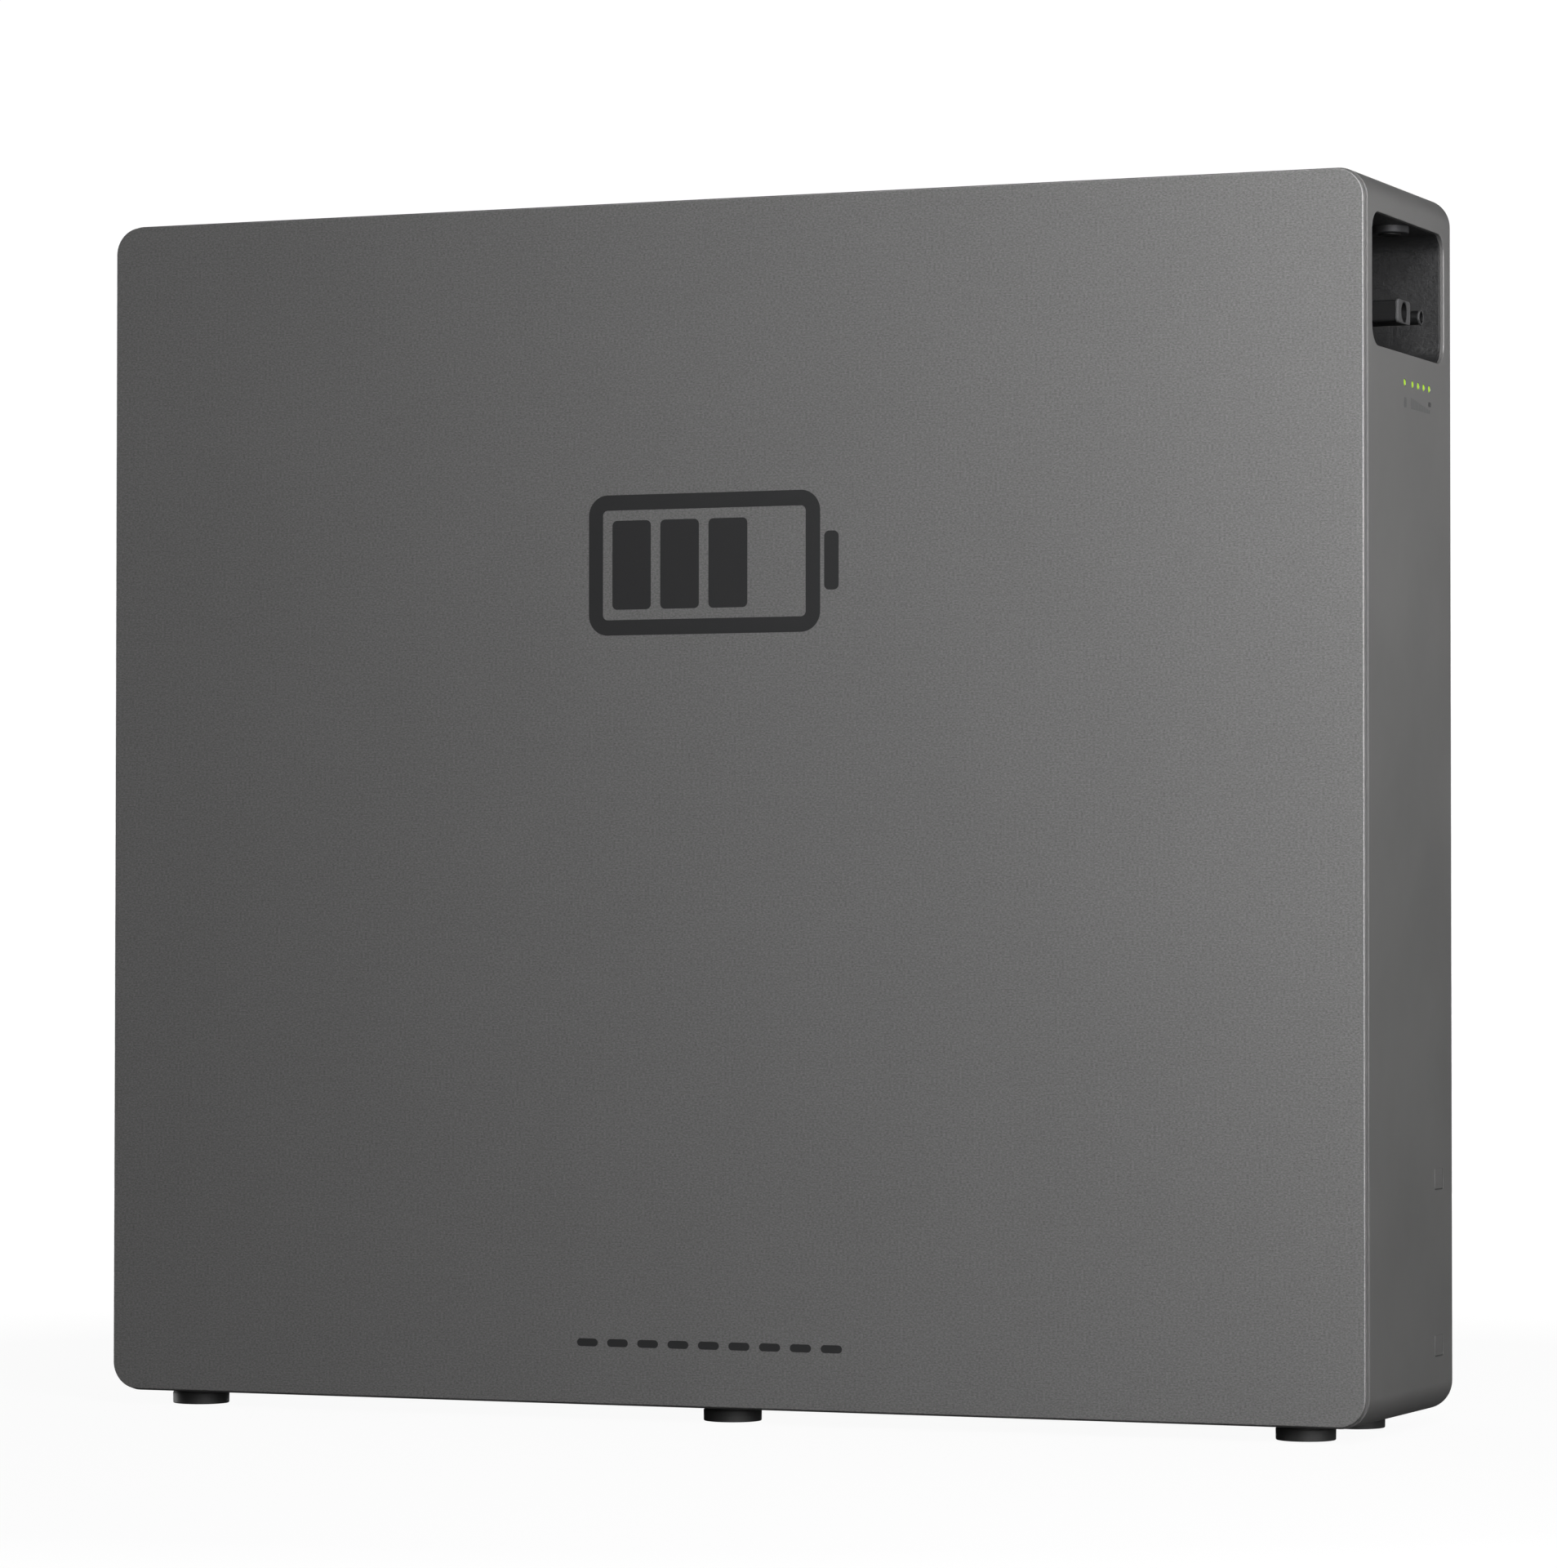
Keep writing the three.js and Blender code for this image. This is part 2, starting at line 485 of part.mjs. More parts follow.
function buildRails(unit) {
  const { length, width, height, thickness, hole } = RAIL;
  const half = width / 2;
  const bottom = FOOT.height + CASE.wall + GAP;
  const channel = [
    [-half, 0], [half, 0], [half, height], [half - thickness, height], [half - thickness, thickness],
    [thickness - half, thickness], [thickness - half, height], [-half, height],
  ].map(([y, z]) => new THREE.Vector2(y, z));
  for (const [name, y] of [["front", FOOT.frontY], ["rear", FOOT.rearY]]) {
    const bar = alongX(stack([{ at: -length / 2, outline: channel }, { at: length / 2, outline: channel }]));
    const holes = [-1, 0, 1].map((side) => rod(hole, -2, 6, 12).translate(side * FOOT.spanX, 0, 0));
    place(unit, `base_rail_${name}`, combine(bar, { cut: holes }), MATERIAL.steel, 0, y, bottom);
  }
}

// ---- Cell modules: two rows of flat cells each, with a busbar carrier on the terminal side ----
function cellOutline() {
  const { perRow, pitch, width, height } = CELLS;
  const groove = 1;
  const depth = 1.5;
  const edge = (side) => {
    const points = [[side * (width / 2), side * (height / 2)]];
    for (let i = 1; i < perRow; i++) {
      const x = side * (width / 2 - i * pitch);
      points.push([x + (side * groove) / 2, side * (height / 2)]);
      points.push([x, side * (height / 2 - depth)]);
      points.push([x - (side * groove) / 2, side * (height / 2)]);
    }
    points.push([-side * (width / 2), side * (height / 2)]);
    return points;
  };
  return [...edge(-1), ...edge(1)].map(([x, y]) => new THREE.Vector2(x, y));
}

function buildModules(unit) {
  const { width, height, depth, centreX, frontY } = CELLS;
  const carrierFront = frontY - 4.4;
  for (let i = 0; i < MODULE.count; i++) {
    const module = groupAt(centreX, 0, MODULE.restZ + height / 2 + i * MODULE.pitch);
    const outline = cellOutline();
    const cells = alongY(stack([{ at: frontY, outline }, { at: frontY + depth, outline }]));
    const carrier = alongY(slab({ width: width - 8, height: height - 10, radius: 4, from: carrierFront,
      to: frontY - 0.4, chamferFrom: 1, steps: 2 }));
    const bars = [];
    for (const row of [-1, 1]) {
      for (let bar = 0; bar < 7; bar++) {
        bars.push(block(46, 2, 18, (bar - 3) * 2 * CELLS.pitch, carrierFront, row * 33));
      }
    }
    place(module, `cell_module_${i + 1}`, cells, MATERIAL.cellWrap);
    place(module, `busbar_plate_${i + 1}`, combine(carrier, { add: bars }), MATERIAL.busbarCarrier);
    unit.add(module);
  }
  const frameHeight = (MODULE.count - 1) * MODULE.pitch + height;
  for (const [name, side] of [["left", -1], ["right", 1]]) {
    const half = SIDE_FRAME.thickness / 2;
    const frame = alongX(slab({ width: SIDE_FRAME.width, height: frameHeight, radius: 5, from: -half, to: half,
      chamferTo: 1, chamferFrom: 1, steps: 2 }));
    const x = centreX + side * (width / 2 + SIDE_FRAME.gap + half);
    place(unit, `side_frame_${name}`, frame, MATERIAL.steel, x, SIDE_FRAME.y, MODULE.restZ + frameHeight / 2);
  }
}

// ---- Control bay behind the pocket: plate, management board, relays, fuse and cables ----
function relay() {
  const { plateFront } = BAY;
  const { width, height, depth } = RELAY;
  const body = alongY(slab({ width, height, radius: 6, from: plateFront - depth, to: plateFront - 0.2,
    chamferFrom: 2, steps: 2 }));
  const terminal = (x) =>
    rod(TERMINAL.radius, TERMINAL.top - 12, TERMINAL.top, 12).translate(x, plateFront - TERMINAL.setBack, 0);
  return combine(body, { add: [terminal(-TERMINAL.x), terminal(TERMINAL.x)] });
}

function buildControlBay(unit) {
  const { x, width, plateFront, plateBottom, plateTop } = BAY;
  const plate = alongY(slab({ width, height: plateTop - plateBottom, radius: 6, from: plateFront,
    to: plateFront + 2.5, steps: 2 }));
  place(unit, "control_plate", plate, MATERIAL.steel, x, 0, (plateTop + plateBottom) / 2);

  const board = alongY(slab({ width: BOARD.width, height: BOARD.height, radius: 3, from: BOARD.y,
    to: BOARD.y + BOARD.thickness, steps: 2 }));
  const parts = [
    block(34, 5, 34, -40, BOARD.y - 2, 20), block(22, 9, 60, 60, BOARD.y - 4, 0),
    block(70, 7, 14, -30, BOARD.y - 3, -55), block(14, 8, 14, 10, BOARD.y - 3.5, 40),
    block(14, 8, 14, 10, BOARD.y - 3.5, -5), block(12, 16, 12, -85, BOARD.y + 8, 65),
    block(12, 16, 12, 85, BOARD.y + 8, -65),
  ];
  place(unit, "management_board", combine(board, { add: parts }), MATERIAL.circuitBoard, x, 0, BOARD.z);

  place(unit, "relay_positive", relay(), MATERIAL.relay, RELAY.positiveX, 0, RELAY.z);
  place(unit, "relay_negative", relay(), MATERIAL.relay, RELAY.negativeX, 0, RELAY.z);

  const fuseY = plateFront - FUSE.setBack;
  const barrel = alongX(rod(FUSE.radius, -FUSE.halfLength, FUSE.halfLength, 20)).translate(0, fuseY, 0);
  const lug = (side) => block(26, 4, 20, side * (FUSE.halfLength + 10), fuseY, 0);
  const saddle = block(30, 12, 20, 0, plateFront - 6.2, 0);
  place(unit, "main_fuse", combine(barrel, { add: [lug(-1), lug(1), saddle] }), MATERIAL.fuse, x, 0, FUSE.z);
}

function buildCables(unit) {
  const socketZ = CENTRE_Z + SOCKET_Z;
  const terminalY = BAY.plateFront - TERMINAL.setBack;
  const terminalZ = RELAY.z + TERMINAL.top + GAP;
  const positiveX = RELAY.positiveX + TERMINAL.x;
  const negativeX = RELAY.negativeX - TERMINAL.x;
  const powerTailX = POWER_SOCKET.tailX - GAP;
  const positive = [
    [positiveX, terminalY, terminalZ], [positiveX, terminalY - 1, terminalZ + 14], [322, 16, 350],
    [300, 6, 440], [292, 4, 560], [291, 4, 618], [298, 4, socketZ - 2], [powerTailX - 5, 4, socketZ],
    [powerTailX, 4, socketZ],
  ];
  const negative = [
    [negativeX, terminalY, terminalZ], [negativeX, terminalY - 1, terminalZ + 14], [206, 20, 360],
    [240, 18, 450], [272, 14, 570], [283, 12, 620], [296, 12, socketZ - 2], [powerTailX - 5, 12, socketZ],
    [powerTailX, 12, socketZ],
  ];
  const commTailX = COMM_SOCKET.tailX - GAP;
  const comm = [
    [326, 34, 500], [326, 29, 512], [318, 26, 560], [304, 32, 610], [303, 40, socketZ - 6],
    [commTailX - 6, COMM_SOCKET.y, socketZ], [commTailX, COMM_SOCKET.y, socketZ],
  ];
  place(unit, "output_cable_positive", tube(positive, CABLE.power, 8, 24), MATERIAL.redCable);
  place(unit, "output_cable_negative", tube(negative, CABLE.power, 8, 24), MATERIAL.blackCable);
  place(unit, "comm_cable", tube(comm, CABLE.comm, 8, 20), MATERIAL.blackCable);
}

// ---- The whole unit ----
const unit = new THREE.Group();
const casing = groupAt(0, 0, CENTRE_Z);
unit.add(casing);
buildCasing(casing);
buildPockets(casing);
buildButton(casing);
buildPowerSocket(casing);
buildCommSocket(casing);
buildFloorFittings(casing);
buildLights(casing);
buildWindowPlugs(casing);
buildFeet(unit);
buildRails(unit);
buildModules(unit);
buildControlBay(unit);
buildCables(unit);

export default unit;
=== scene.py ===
"""Looks of a floor-standing home battery unit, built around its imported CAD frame.
Metres, +Z up, front towards -Y."""

import json
import math

import bmesh
import bpy
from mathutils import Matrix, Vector
from mathutils.geometry import tessellate_polygon


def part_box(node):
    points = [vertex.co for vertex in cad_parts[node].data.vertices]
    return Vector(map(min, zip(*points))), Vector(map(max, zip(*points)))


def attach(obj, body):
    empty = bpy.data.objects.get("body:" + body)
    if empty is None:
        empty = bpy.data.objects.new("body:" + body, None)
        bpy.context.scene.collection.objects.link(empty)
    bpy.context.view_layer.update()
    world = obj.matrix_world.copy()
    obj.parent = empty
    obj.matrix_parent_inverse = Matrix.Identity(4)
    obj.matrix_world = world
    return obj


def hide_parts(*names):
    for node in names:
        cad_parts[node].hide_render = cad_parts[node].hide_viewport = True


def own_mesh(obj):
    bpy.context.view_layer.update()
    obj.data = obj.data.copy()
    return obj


MM = 0.001
SCENE = bpy.context.scene

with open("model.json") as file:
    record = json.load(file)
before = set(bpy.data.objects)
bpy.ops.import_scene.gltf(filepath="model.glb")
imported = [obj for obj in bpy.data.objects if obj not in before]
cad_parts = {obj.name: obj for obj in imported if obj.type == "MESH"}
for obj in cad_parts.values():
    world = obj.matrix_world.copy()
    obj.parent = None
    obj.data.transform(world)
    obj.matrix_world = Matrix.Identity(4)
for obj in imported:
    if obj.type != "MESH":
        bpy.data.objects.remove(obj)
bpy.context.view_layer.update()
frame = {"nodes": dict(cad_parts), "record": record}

# ---- Sizes that the frame doesn't state ----
SHEET = 2.5 * MM  # the casing's sheet metal
FLANGE_REACH = 16 * MM
CASE_CORNER = 17 * MM
POCKET_CORNER = 12 * MM
TRAY_WALL = 2 * MM
TRAY_RIM = 4 * MM
CUT_EDGE = 0.4 * MM  # the rounding of a cut edge in the casing
FOOT_SCREW_HOLE = 2.05 * MM
LIGHT_HOLE = 2.2 * MM
LENS_RADIUS = 2 * MM
WINDOW_LIP = 2 * MM
WINDOW_SHADOW_GAP = (0.85 * MM, 0.45 * MM)  # mean gap beside and above a window's cover; the dark rubber that shows in it behind and below the cover is painted shadow
SEAL_CLEARANCE = 0.1 * MM

SHARP_ANGLE = math.radians(40)  # faces that meet at more than this keep a hard edge
PRINT_THICKNESS = 0.06 * MM

# ---- Camera, floor and light: metres, degrees, watts, and the lens in millimetres ----
CAMERA = {"place": (1.391, -3.33, 0.283), "yaw": 22.58, "pitch": 1.41, "roll": -0.03, "lens": 140}
FLOOR_SHADE_FADE = (0.8, 1.4)  # distance from the unit over which the floor's painted shade fades out and the floor turns white
FLOOR_GLOW = (0.945, 1.03)  # its level beside the unit, dimmed there as painted shade, and beyond the fade
FLOOR_RADIUS = 40
SURROUND = {"below": 0.06, "level": 0.06, "above": 0.02}  # grey levels that light the unit
SURROUND_SEEN = 1.02  # the level that the camera sees behind the unit
LIGHTS = {
    "key": {"place": (1.7, -2.2, 1.9), "aim": (0.2, 0, 0.4), "size": (1.4, 1.4), "watts": 10},
    "key_low": {"place": (2.2, -2.2, 0.7), "aim": (0.3, 0, 0.4), "size": (1.2, 1.2), "watts": 70},
    "side": {"place": (2.4, 0.5, 0.9), "aim": (0.39, 0, 0.45), "size": (1.0, 1.2), "watts": 7},
    "corner": {"place": (1.1, -1.2, 1.5), "aim": (0.39, 0, 0.6), "size": (0.8, 0.8), "watts": 30},
    "near": {"place": (0.95, -0.95, 0.75), "aim": (0.39, 0, 0.4), "size": (0.5, 0.9), "watts": 12},
    "rear": {"place": (-0.9, 3.0, 0.36), "aim": (0, 0, 0.36), "size": (2.4, 0.66), "watts": 90},
    "pocket": {"place": (1.7, -0.55, 0.16), "aim": (0.36, 0, 0.65), "size": (0.3, 0.3), "watts": 4},
    "top": {"place": (-0.3, 0.4, 2.4), "aim": (0, 0, 0.7), "size": (1.2, 1.2), "watts": 14},
    "left": {"place": (-2.6, 0.5, 0.4), "aim": (-0.39, 0, 0.36), "size": (1.2, 0.6), "watts": 40},
    "rear_right": {"place": (2.4, 2.2, 1.2), "aim": (0.3, 0, 0.4), "size": (1.4, 1.4), "watts": 10},
}


def box_of(node):
    """Centre and size of a CAD node."""
    low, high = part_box(node)
    return (low + high) / 2, high - low


# ---- Outlines and profiles ----
def rounded_rectangle(width, height, radius, steps=14):
    """Counter-clockwise outline, from the lower end of the upper right corner's arc."""
    radius = max(radius, 0.02 * MM)
    points = []
    for side_u, side_v, start in ((1, 1, 0), (-1, 1, 90), (-1, -1, 180), (1, -1, 270)):
        for i in range(steps + 1):
            angle = math.radians(start + 90 * i / steps)
            u = side_u * (width / 2 - radius) + radius * math.cos(angle)
            v = side_v * (height / 2 - radius) + radius * math.sin(angle)
            points.append((u, v))
    return points


def polygon(radius, sides, turn=0.0):
    angles = [turn + 2 * math.pi * i / sides for i in range(sides)]
    return [(radius * math.cos(a), radius * math.sin(a)) for a in angles]


def flats(steps=14):
    """The segments of a rounded rectangle's outline that are its straight sides."""
    return {"top": steps, "left": 2 * steps + 1, "bottom": 3 * steps + 2, "right": 4 * steps + 3}


def softened(points, closed=False, steps=5):
    """A profile of (offset, depth, radius) corners, each rounded to its radius."""
    result = []
    count = len(points)
    for i, (offset, depth, radius) in enumerate(points):
        corner = Vector((offset, depth))
        if radius == 0 or (not closed and i in (0, count - 1)):
            result.append(tuple(corner))
            continue
        before = (Vector(points[i - 1][:2]) - corner).normalized()
        after = (Vector(points[(i + 1) % count][:2]) - corner).normalized()
        half = before.angle(after) / 2
        centre = corner + (before + after).normalized() * radius / math.sin(half)
        start = corner + before * radius / math.tan(half) - centre
        end = corner + after * radius / math.tan(half) - centre
        turn = start.angle(end)
        for step in range(steps + 1):
            share = step / steps
            arm = (start * math.sin((1 - share) * turn) + end * math.sin(share * turn)) / math.sin(turn)
            result.append(tuple(centre + arm))
    return result


# ---- Where an outline's (u, v) and a profile's depth lie in the frame ----
def across_y(u, v, depth):
    return u, depth, v


def across_x(u, v, depth):
    return depth, u, v


def across_z(u, v, depth):
    return u, v, depth


class Build:
    """A closed mesh made of rings of vertices, each ring one outline at one depth."""

    def __init__(self):
        self.bm = bmesh.new()

    def ring(self, outline, depth, plane, at=(0, 0)):
        return [self.bm.verts.new(plane(at[0] + u, at[1] + v, depth)) for u, v in outline]

    def bridge(self, a, b, leave_out=()):
        for i in range(len(a)):
            if i not in leave_out:
                j = (i + 1) % len(a)
                self.bm.faces.new((a[i], a[j], b[j], b[i]))

    def fill(self, outer, holes=()):
        """A flat face inside a loop of vertices, with holes in it."""
        if not holes:
            self.bm.faces.new(outer)
            return
        loops = [outer, *holes]
        corners = [v for loop in loops for v in loop]
        for triangle in tessellate_polygon([[v.co for v in loop] for loop in loops]):
            self.bm.faces.new([corners[i] for i in triangle])

    def sweep(self, outline_at, profile, plane, at=(0, 0), closed=False, caps=(True, True), pierced=()):
        """Rings along a profile of (offset, depth). pierced names straight sides that are left open on the two
        longest bands. Returns the rings and, for each pierced side, its loops, in the profile's order."""
        rings = [self.ring(outline_at(offset), depth, plane, at) for offset, depth in profile]
        count = len(rings)
        bands = range(count if closed else count - 1)
        depth_of = [depth for _, depth in profile]
        by_length = sorted(bands, key=lambda i: -abs(depth_of[(i + 1) % count] - depth_of[i]))
        steps = len(rings[0]) // 4 - 1
        left_out = [flats(steps)[side] for side in pierced]
        loops = {side: [] for side in pierced}
        for i in bands:
            a, b = rings[i], rings[(i + 1) % count]
            opened = left_out if i in by_length[:2] else []
            self.bridge(a, b, opened)
        for i in sorted(by_length[:2]):
            a, b = rings[i], rings[(i + 1) % count]
            for side, segment in zip(pierced, left_out):
                j = (segment + 1) % len(a)
                loops[side].append([a[segment], a[j], b[j], b[segment]])
        if not closed and caps[0]:
            self.fill(rings[0])
        if not closed and caps[1]:
            self.fill(rings[-1])
        return rings, loops

    def tunnel(self, outline_at, start, end, plane, at, rounding):
        """A hole's wall from depth start to depth end, rounded where it meets them. Returns its end rings."""
        profile = softened([
            (2 * rounding, start, 0), (0, start, rounding), (0, end, rounding / 2), (2 * rounding, end, 0)])
        rings, _ = self.sweep(outline_at, profile[1:-1], plane, at, caps=(False, False))
        return rings[0], rings[-1]


def rectangle_at(width, height, radius, steps=14):
    """Outline family of a rounded rectangle: a positive offset makes it larger."""
    return lambda offset: rounded_rectangle(width + 2 * offset, height + 2 * offset, radius + offset, steps)


def circle_at(sides=48):
    """Outline family of a circle whose offset is its radius."""
    return lambda radius: polygon(radius, sides)


def bore_at(radius, sides=32):
    """Outline family of a round hole: a positive offset makes it larger."""
    return lambda offset: polygon(radius + offset, sides)


def piece(build, name, material, replaces=(), body="unit"):
    """Finish a built mesh as one object that rides on a CAD body."""
    bmesh.ops.remove_doubles(build.bm, verts=build.bm.verts, dist=0.001 * MM)
    bmesh.ops.recalc_face_normals(build.bm, faces=build.bm.faces)
    mesh = bpy.data.meshes.new(name)
    build.bm.to_mesh(mesh)
    build.bm.free()
    mesh.shade_smooth()
    mesh.set_sharp_from_angle(angle=SHARP_ANGLE)
    mesh.materials.append(material)
    made = bpy.data.objects.new(name, mesh)
    SCENE.collection.objects.link(made)
    normals = made.modifiers.new("even_normals", "WEIGHTED_NORMAL")
    normals.keep_sharp = True
    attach(made, body)
    if replaces:
        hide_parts(*replaces)
    return made


# ---- Materials ----
class Surface:
    """A Principled material and the short ways that its detail is wired up."""

    def __init__(self, name, color, roughness, metallic=0.0, **sockets):
        self.material = bpy.data.materials.new(name)
        self.material.use_nodes = True
        self.nodes = self.material.node_tree.nodes
        self.links = self.material.node_tree.links
        self.shader = self.nodes["Principled BSDF"]
        self.color = (*color, 1)
        self.shader.inputs["Base Color"].default_value = self.color
        self.shader.inputs["Roughness"].default_value = roughness
        self.shader.inputs["Metallic"].default_value = metallic
        for socket, value in sockets.items():
            self.shader.inputs[socket.replace("_", " ")].default_value = value
        self.roughness = roughness
        self.place = self.nodes.new("ShaderNodeTexCoord").outputs["Object"]

    def noise(self, size, stretch=(1, 1, 1), detail=3.0, rough=0.55):
        """Noise whose features are about size metres, stretched along an axis by its factor."""
        mapping = self.nodes.new("ShaderNodeMapping")
        mapping.inputs["Scale"].default_value = [1 / (size * s) for s in stretch]
        self.links.new(self.place, mapping.inputs["Vector"])
        texture = self.nodes.new("ShaderNodeTexNoise")
        texture.inputs["Scale"].default_value = 1
        texture.inputs["Detail"].default_value = detail
        texture.inputs["Roughness"].default_value = rough
        self.links.new(mapping.outputs["Vector"], texture.inputs["Vector"])
        return texture.outputs["Fac"]

    def cells(self, size):
        """Distance to the middle of rounded cells that are about size metres wide."""
        mapping = self.nodes.new("ShaderNodeMapping")
        mapping.inputs["Scale"].default_value = [1 / size] * 3
        self.links.new(self.place, mapping.inputs["Vector"])
        texture = self.nodes.new("ShaderNodeTexVoronoi")
        texture.inputs["Scale"].default_value = 1
        self.links.new(mapping.outputs["Vector"], texture.inputs["Vector"])
        return texture.outputs["Distance"]

    def ramp(self, value, low, high, to_low, to_high):
        """Map a value from one range to another, held at its ends."""
        node = self.nodes.new("ShaderNodeMapRange")
        node.inputs["From Min"].default_value = low
        node.inputs["From Max"].default_value = high
        node.inputs["To Min"].default_value = to_low
        node.inputs["To Max"].default_value = to_high
        self.links.new(value, node.inputs["Value"])
        return node.outputs["Result"]

    def math(self, operation, a, b):
        node = self.nodes.new("ShaderNodeMath")
        node.operation = operation
        for socket, value in zip(node.inputs, (a, b)):
            if isinstance(value, (int, float)):
                socket.default_value = value
            else:
                self.links.new(value, socket)
        return node.outputs["Value"]

    def tint(self, *factors):
        """Multiply the base colour by each factor, a grey value around 1."""
        factor = factors[0]
        for other in factors[1:]:
            factor = self.math("MULTIPLY", factor, other)
        node = self.nodes.new("ShaderNodeMix")
        node.data_type = "RGBA"
        node.blend_type = "MULTIPLY"
        node.inputs["Factor"].default_value = 1
        node.inputs["A"].default_value = self.color
        self.links.new(factor, node.inputs["B"])
        self.links.new(node.outputs["Result"], self.shader.inputs["Base Color"])

    def vary_roughness(self, value, low, high, by):
        factor = self.ramp(value, low, high, self.roughness - by, self.roughness + by)
        self.links.new(factor, self.shader.inputs["Roughness"])

    def bump(self, *heights):
        """Bumps from (value, metres of height) pairs."""
        normal = None
        for value, height in heights:
            node = self.nodes.new("ShaderNodeBump")
            node.inputs["Distance"].default_value = height
            node.inputs["Strength"].default_value = 1
            self.links.new(value, node.inputs["Height"])
            if normal:
                self.links.new(normal, node.inputs["Normal"])
            normal = node.outputs["Normal"]
        self.links.new(normal, self.shader.inputs["Normal"])


def front_metal():
    """Fine-grained metallic coating with a faint horizontal draw in it."""
    surface = Surface("front_metal", (0.151, 0.150, 0.149), 0.46, 0.55)
    grain = surface.noise(0.8 * MM, stretch=(1.8, 1, 1), detail=2)
    fleck = surface.noise(0.5 * MM, detail=1)
    draw = surface.noise(0.9 * MM, stretch=(14, 1, 1), detail=2)
    cloud = surface.noise(90 * MM, detail=3)
    surface.tint(
        surface.ramp(grain, 0.3, 0.7, 0.72, 1.28),
        surface.ramp(fleck, 0.35, 0.75, 0.95, 1.10),
        surface.ramp(draw, 0.3, 0.7, 0.97, 1.03),
        surface.ramp(cloud, 0.3, 0.7, 0.985, 1.015),
    )
    surface.vary_roughness(grain, 0.3, 0.7, 0.07)
    surface.bump((grain, 0.03 * MM), (fleck, 0.012 * MM))
    return surface.material


def casing_metal():
    """Smooth satin anodised sheet."""
    surface = Surface("casing_metal", (0.142, 0.140, 0.139), 0.40, 0.6)
    grain = surface.noise(0.7 * MM, detail=2)
    cloud = surface.noise(60 * MM, detail=3)
    surface.tint(surface.ramp(grain, 0.3, 0.7, 0.97, 1.03), surface.ramp(cloud, 0.3, 0.7, 0.985, 1.015))
    surface.vary_roughness(cloud, 0.3, 0.7, 0.03)
    surface.bump((grain, 0.004 * MM))
    return surface.material


def back_metal():
    """Rolled plate with a vertical grain."""
    surface = Surface("back_metal", (0.119, 0.118, 0.118), 0.44, 0.6)
    grain = surface.noise(0.8 * MM, stretch=(1, 1, 22), detail=3)
    fleck = surface.noise(0.9 * MM, detail=2)
    cloud = surface.noise(70 * MM, detail=3)
    surface.tint(surface.ramp(grain, 0.3, 0.7, 0.93, 1.07), surface.ramp(fleck, 0.3, 0.7, 0.96, 1.04),
                 surface.ramp(cloud, 0.3, 0.7, 0.98, 1.02))
    surface.vary_roughness(grain, 0.3, 0.7, 0.05)
    surface.bump((grain, 0.008 * MM))
    return surface.material


def moulded_plastic(name, color, roughness, texture=1.1 * MM, depth=0.05 * MM, **sockets):
    """Moulded plastic with an etched texture of pits."""
    surface = Surface(name, color, roughness, **sockets)
    pits = surface.noise(texture, detail=3, rough=0.6)
    cloud = surface.noise(25 * MM, detail=2)
    surface.tint(surface.ramp(pits, 0.35, 0.7, 0.82, 1.35), surface.ramp(cloud, 0.3, 0.7, 0.94, 1.06))
    surface.vary_roughness(pits, 0.3, 0.7, 0.08)
    surface.bump((pits, depth))
    return surface.material


def rubber(name, color):
    """Matt moulded rubber with a powdery bloom."""
    surface = Surface(name, color, 0.62)
    skin = surface.noise(0.6 * MM, detail=3)
    bloom = surface.noise(9 * MM, detail=3)
    surface.tint(surface.ramp(skin, 0.3, 0.7, 0.85, 1.2), surface.ramp(bloom, 0.35, 0.75, 0.9, 1.35))
    surface.vary_roughness(bloom, 0.3, 0.7, 0.08)
    surface.bump((skin, 0.03 * MM))
    return surface.material


def machined_metal(name, color, roughness, stretch=(6, 6, 1)):
    """Turned or drawn bare metal with fine tool lines across one direction."""
    surface = Surface(name, color, roughness, 1.0)
    lines = surface.noise(0.25 * MM, stretch=stretch, detail=2)
    stain = surface.noise(6 * MM, detail=3)
    surface.tint(surface.ramp(lines, 0.3, 0.7, 0.9, 1.08), surface.ramp(stain, 0.3, 0.7, 0.94, 1.04))
    surface.vary_roughness(lines, 0.3, 0.7, 0.07)
    surface.bump((lines, 0.006 * MM))
    return surface.material


def light_lens():
    """Tinted plastic that is lit from behind a little unevenly."""
    surface = Surface("light_lens", (0.10, 0.17, 0.01), 0.5, Emission_Color=(0.50, 0.86, 0.01, 1),
                      Specular_IOR_Level=0.2)
    haze = surface.noise(1.3 * MM, detail=2)
    surface.tint(surface.ramp(haze, 0.3, 0.7, 0.92, 1.08))
    surface.links.new(surface.ramp(haze, 0.3, 0.7, 0.40, 0.54), surface.shader.inputs["Emission Strength"])
    surface.bump((haze, 0.01 * MM))
    return surface.material


def print_ink(name="print_ink", color=(0.0055, 0.0055, 0.006), roughness=0.62, metallic=0.0):
    """Screen-printed ink with a slightly uneven lay-down."""
    surface = Surface(name, color, roughness, metallic)
    mesh = surface.noise(0.8 * MM, detail=2)
    surface.tint(surface.ramp(mesh, 0.3, 0.7, 0.88, 1.15))
    surface.vary_roughness(mesh, 0.3, 0.7, 0.05)
    surface.bump((mesh, 0.01 * MM))
    return surface.material


def circuit_board():
    """Green board lacquer over the traces' shallow pattern."""
    surface = Surface("circuit_board", (0.014, 0.10, 0.034), 0.35)
    traces = surface.cells(7 * MM)
    grain = surface.noise(1.2 * MM, detail=2)
    surface.tint(surface.ramp(traces, 0.25, 0.3, 0.8, 1.2), surface.ramp(grain, 0.3, 0.7, 0.92, 1.08))
    surface.bump((surface.ramp(traces, 0.25, 0.3, 0, 1), 0.03 * MM))
    return surface.material


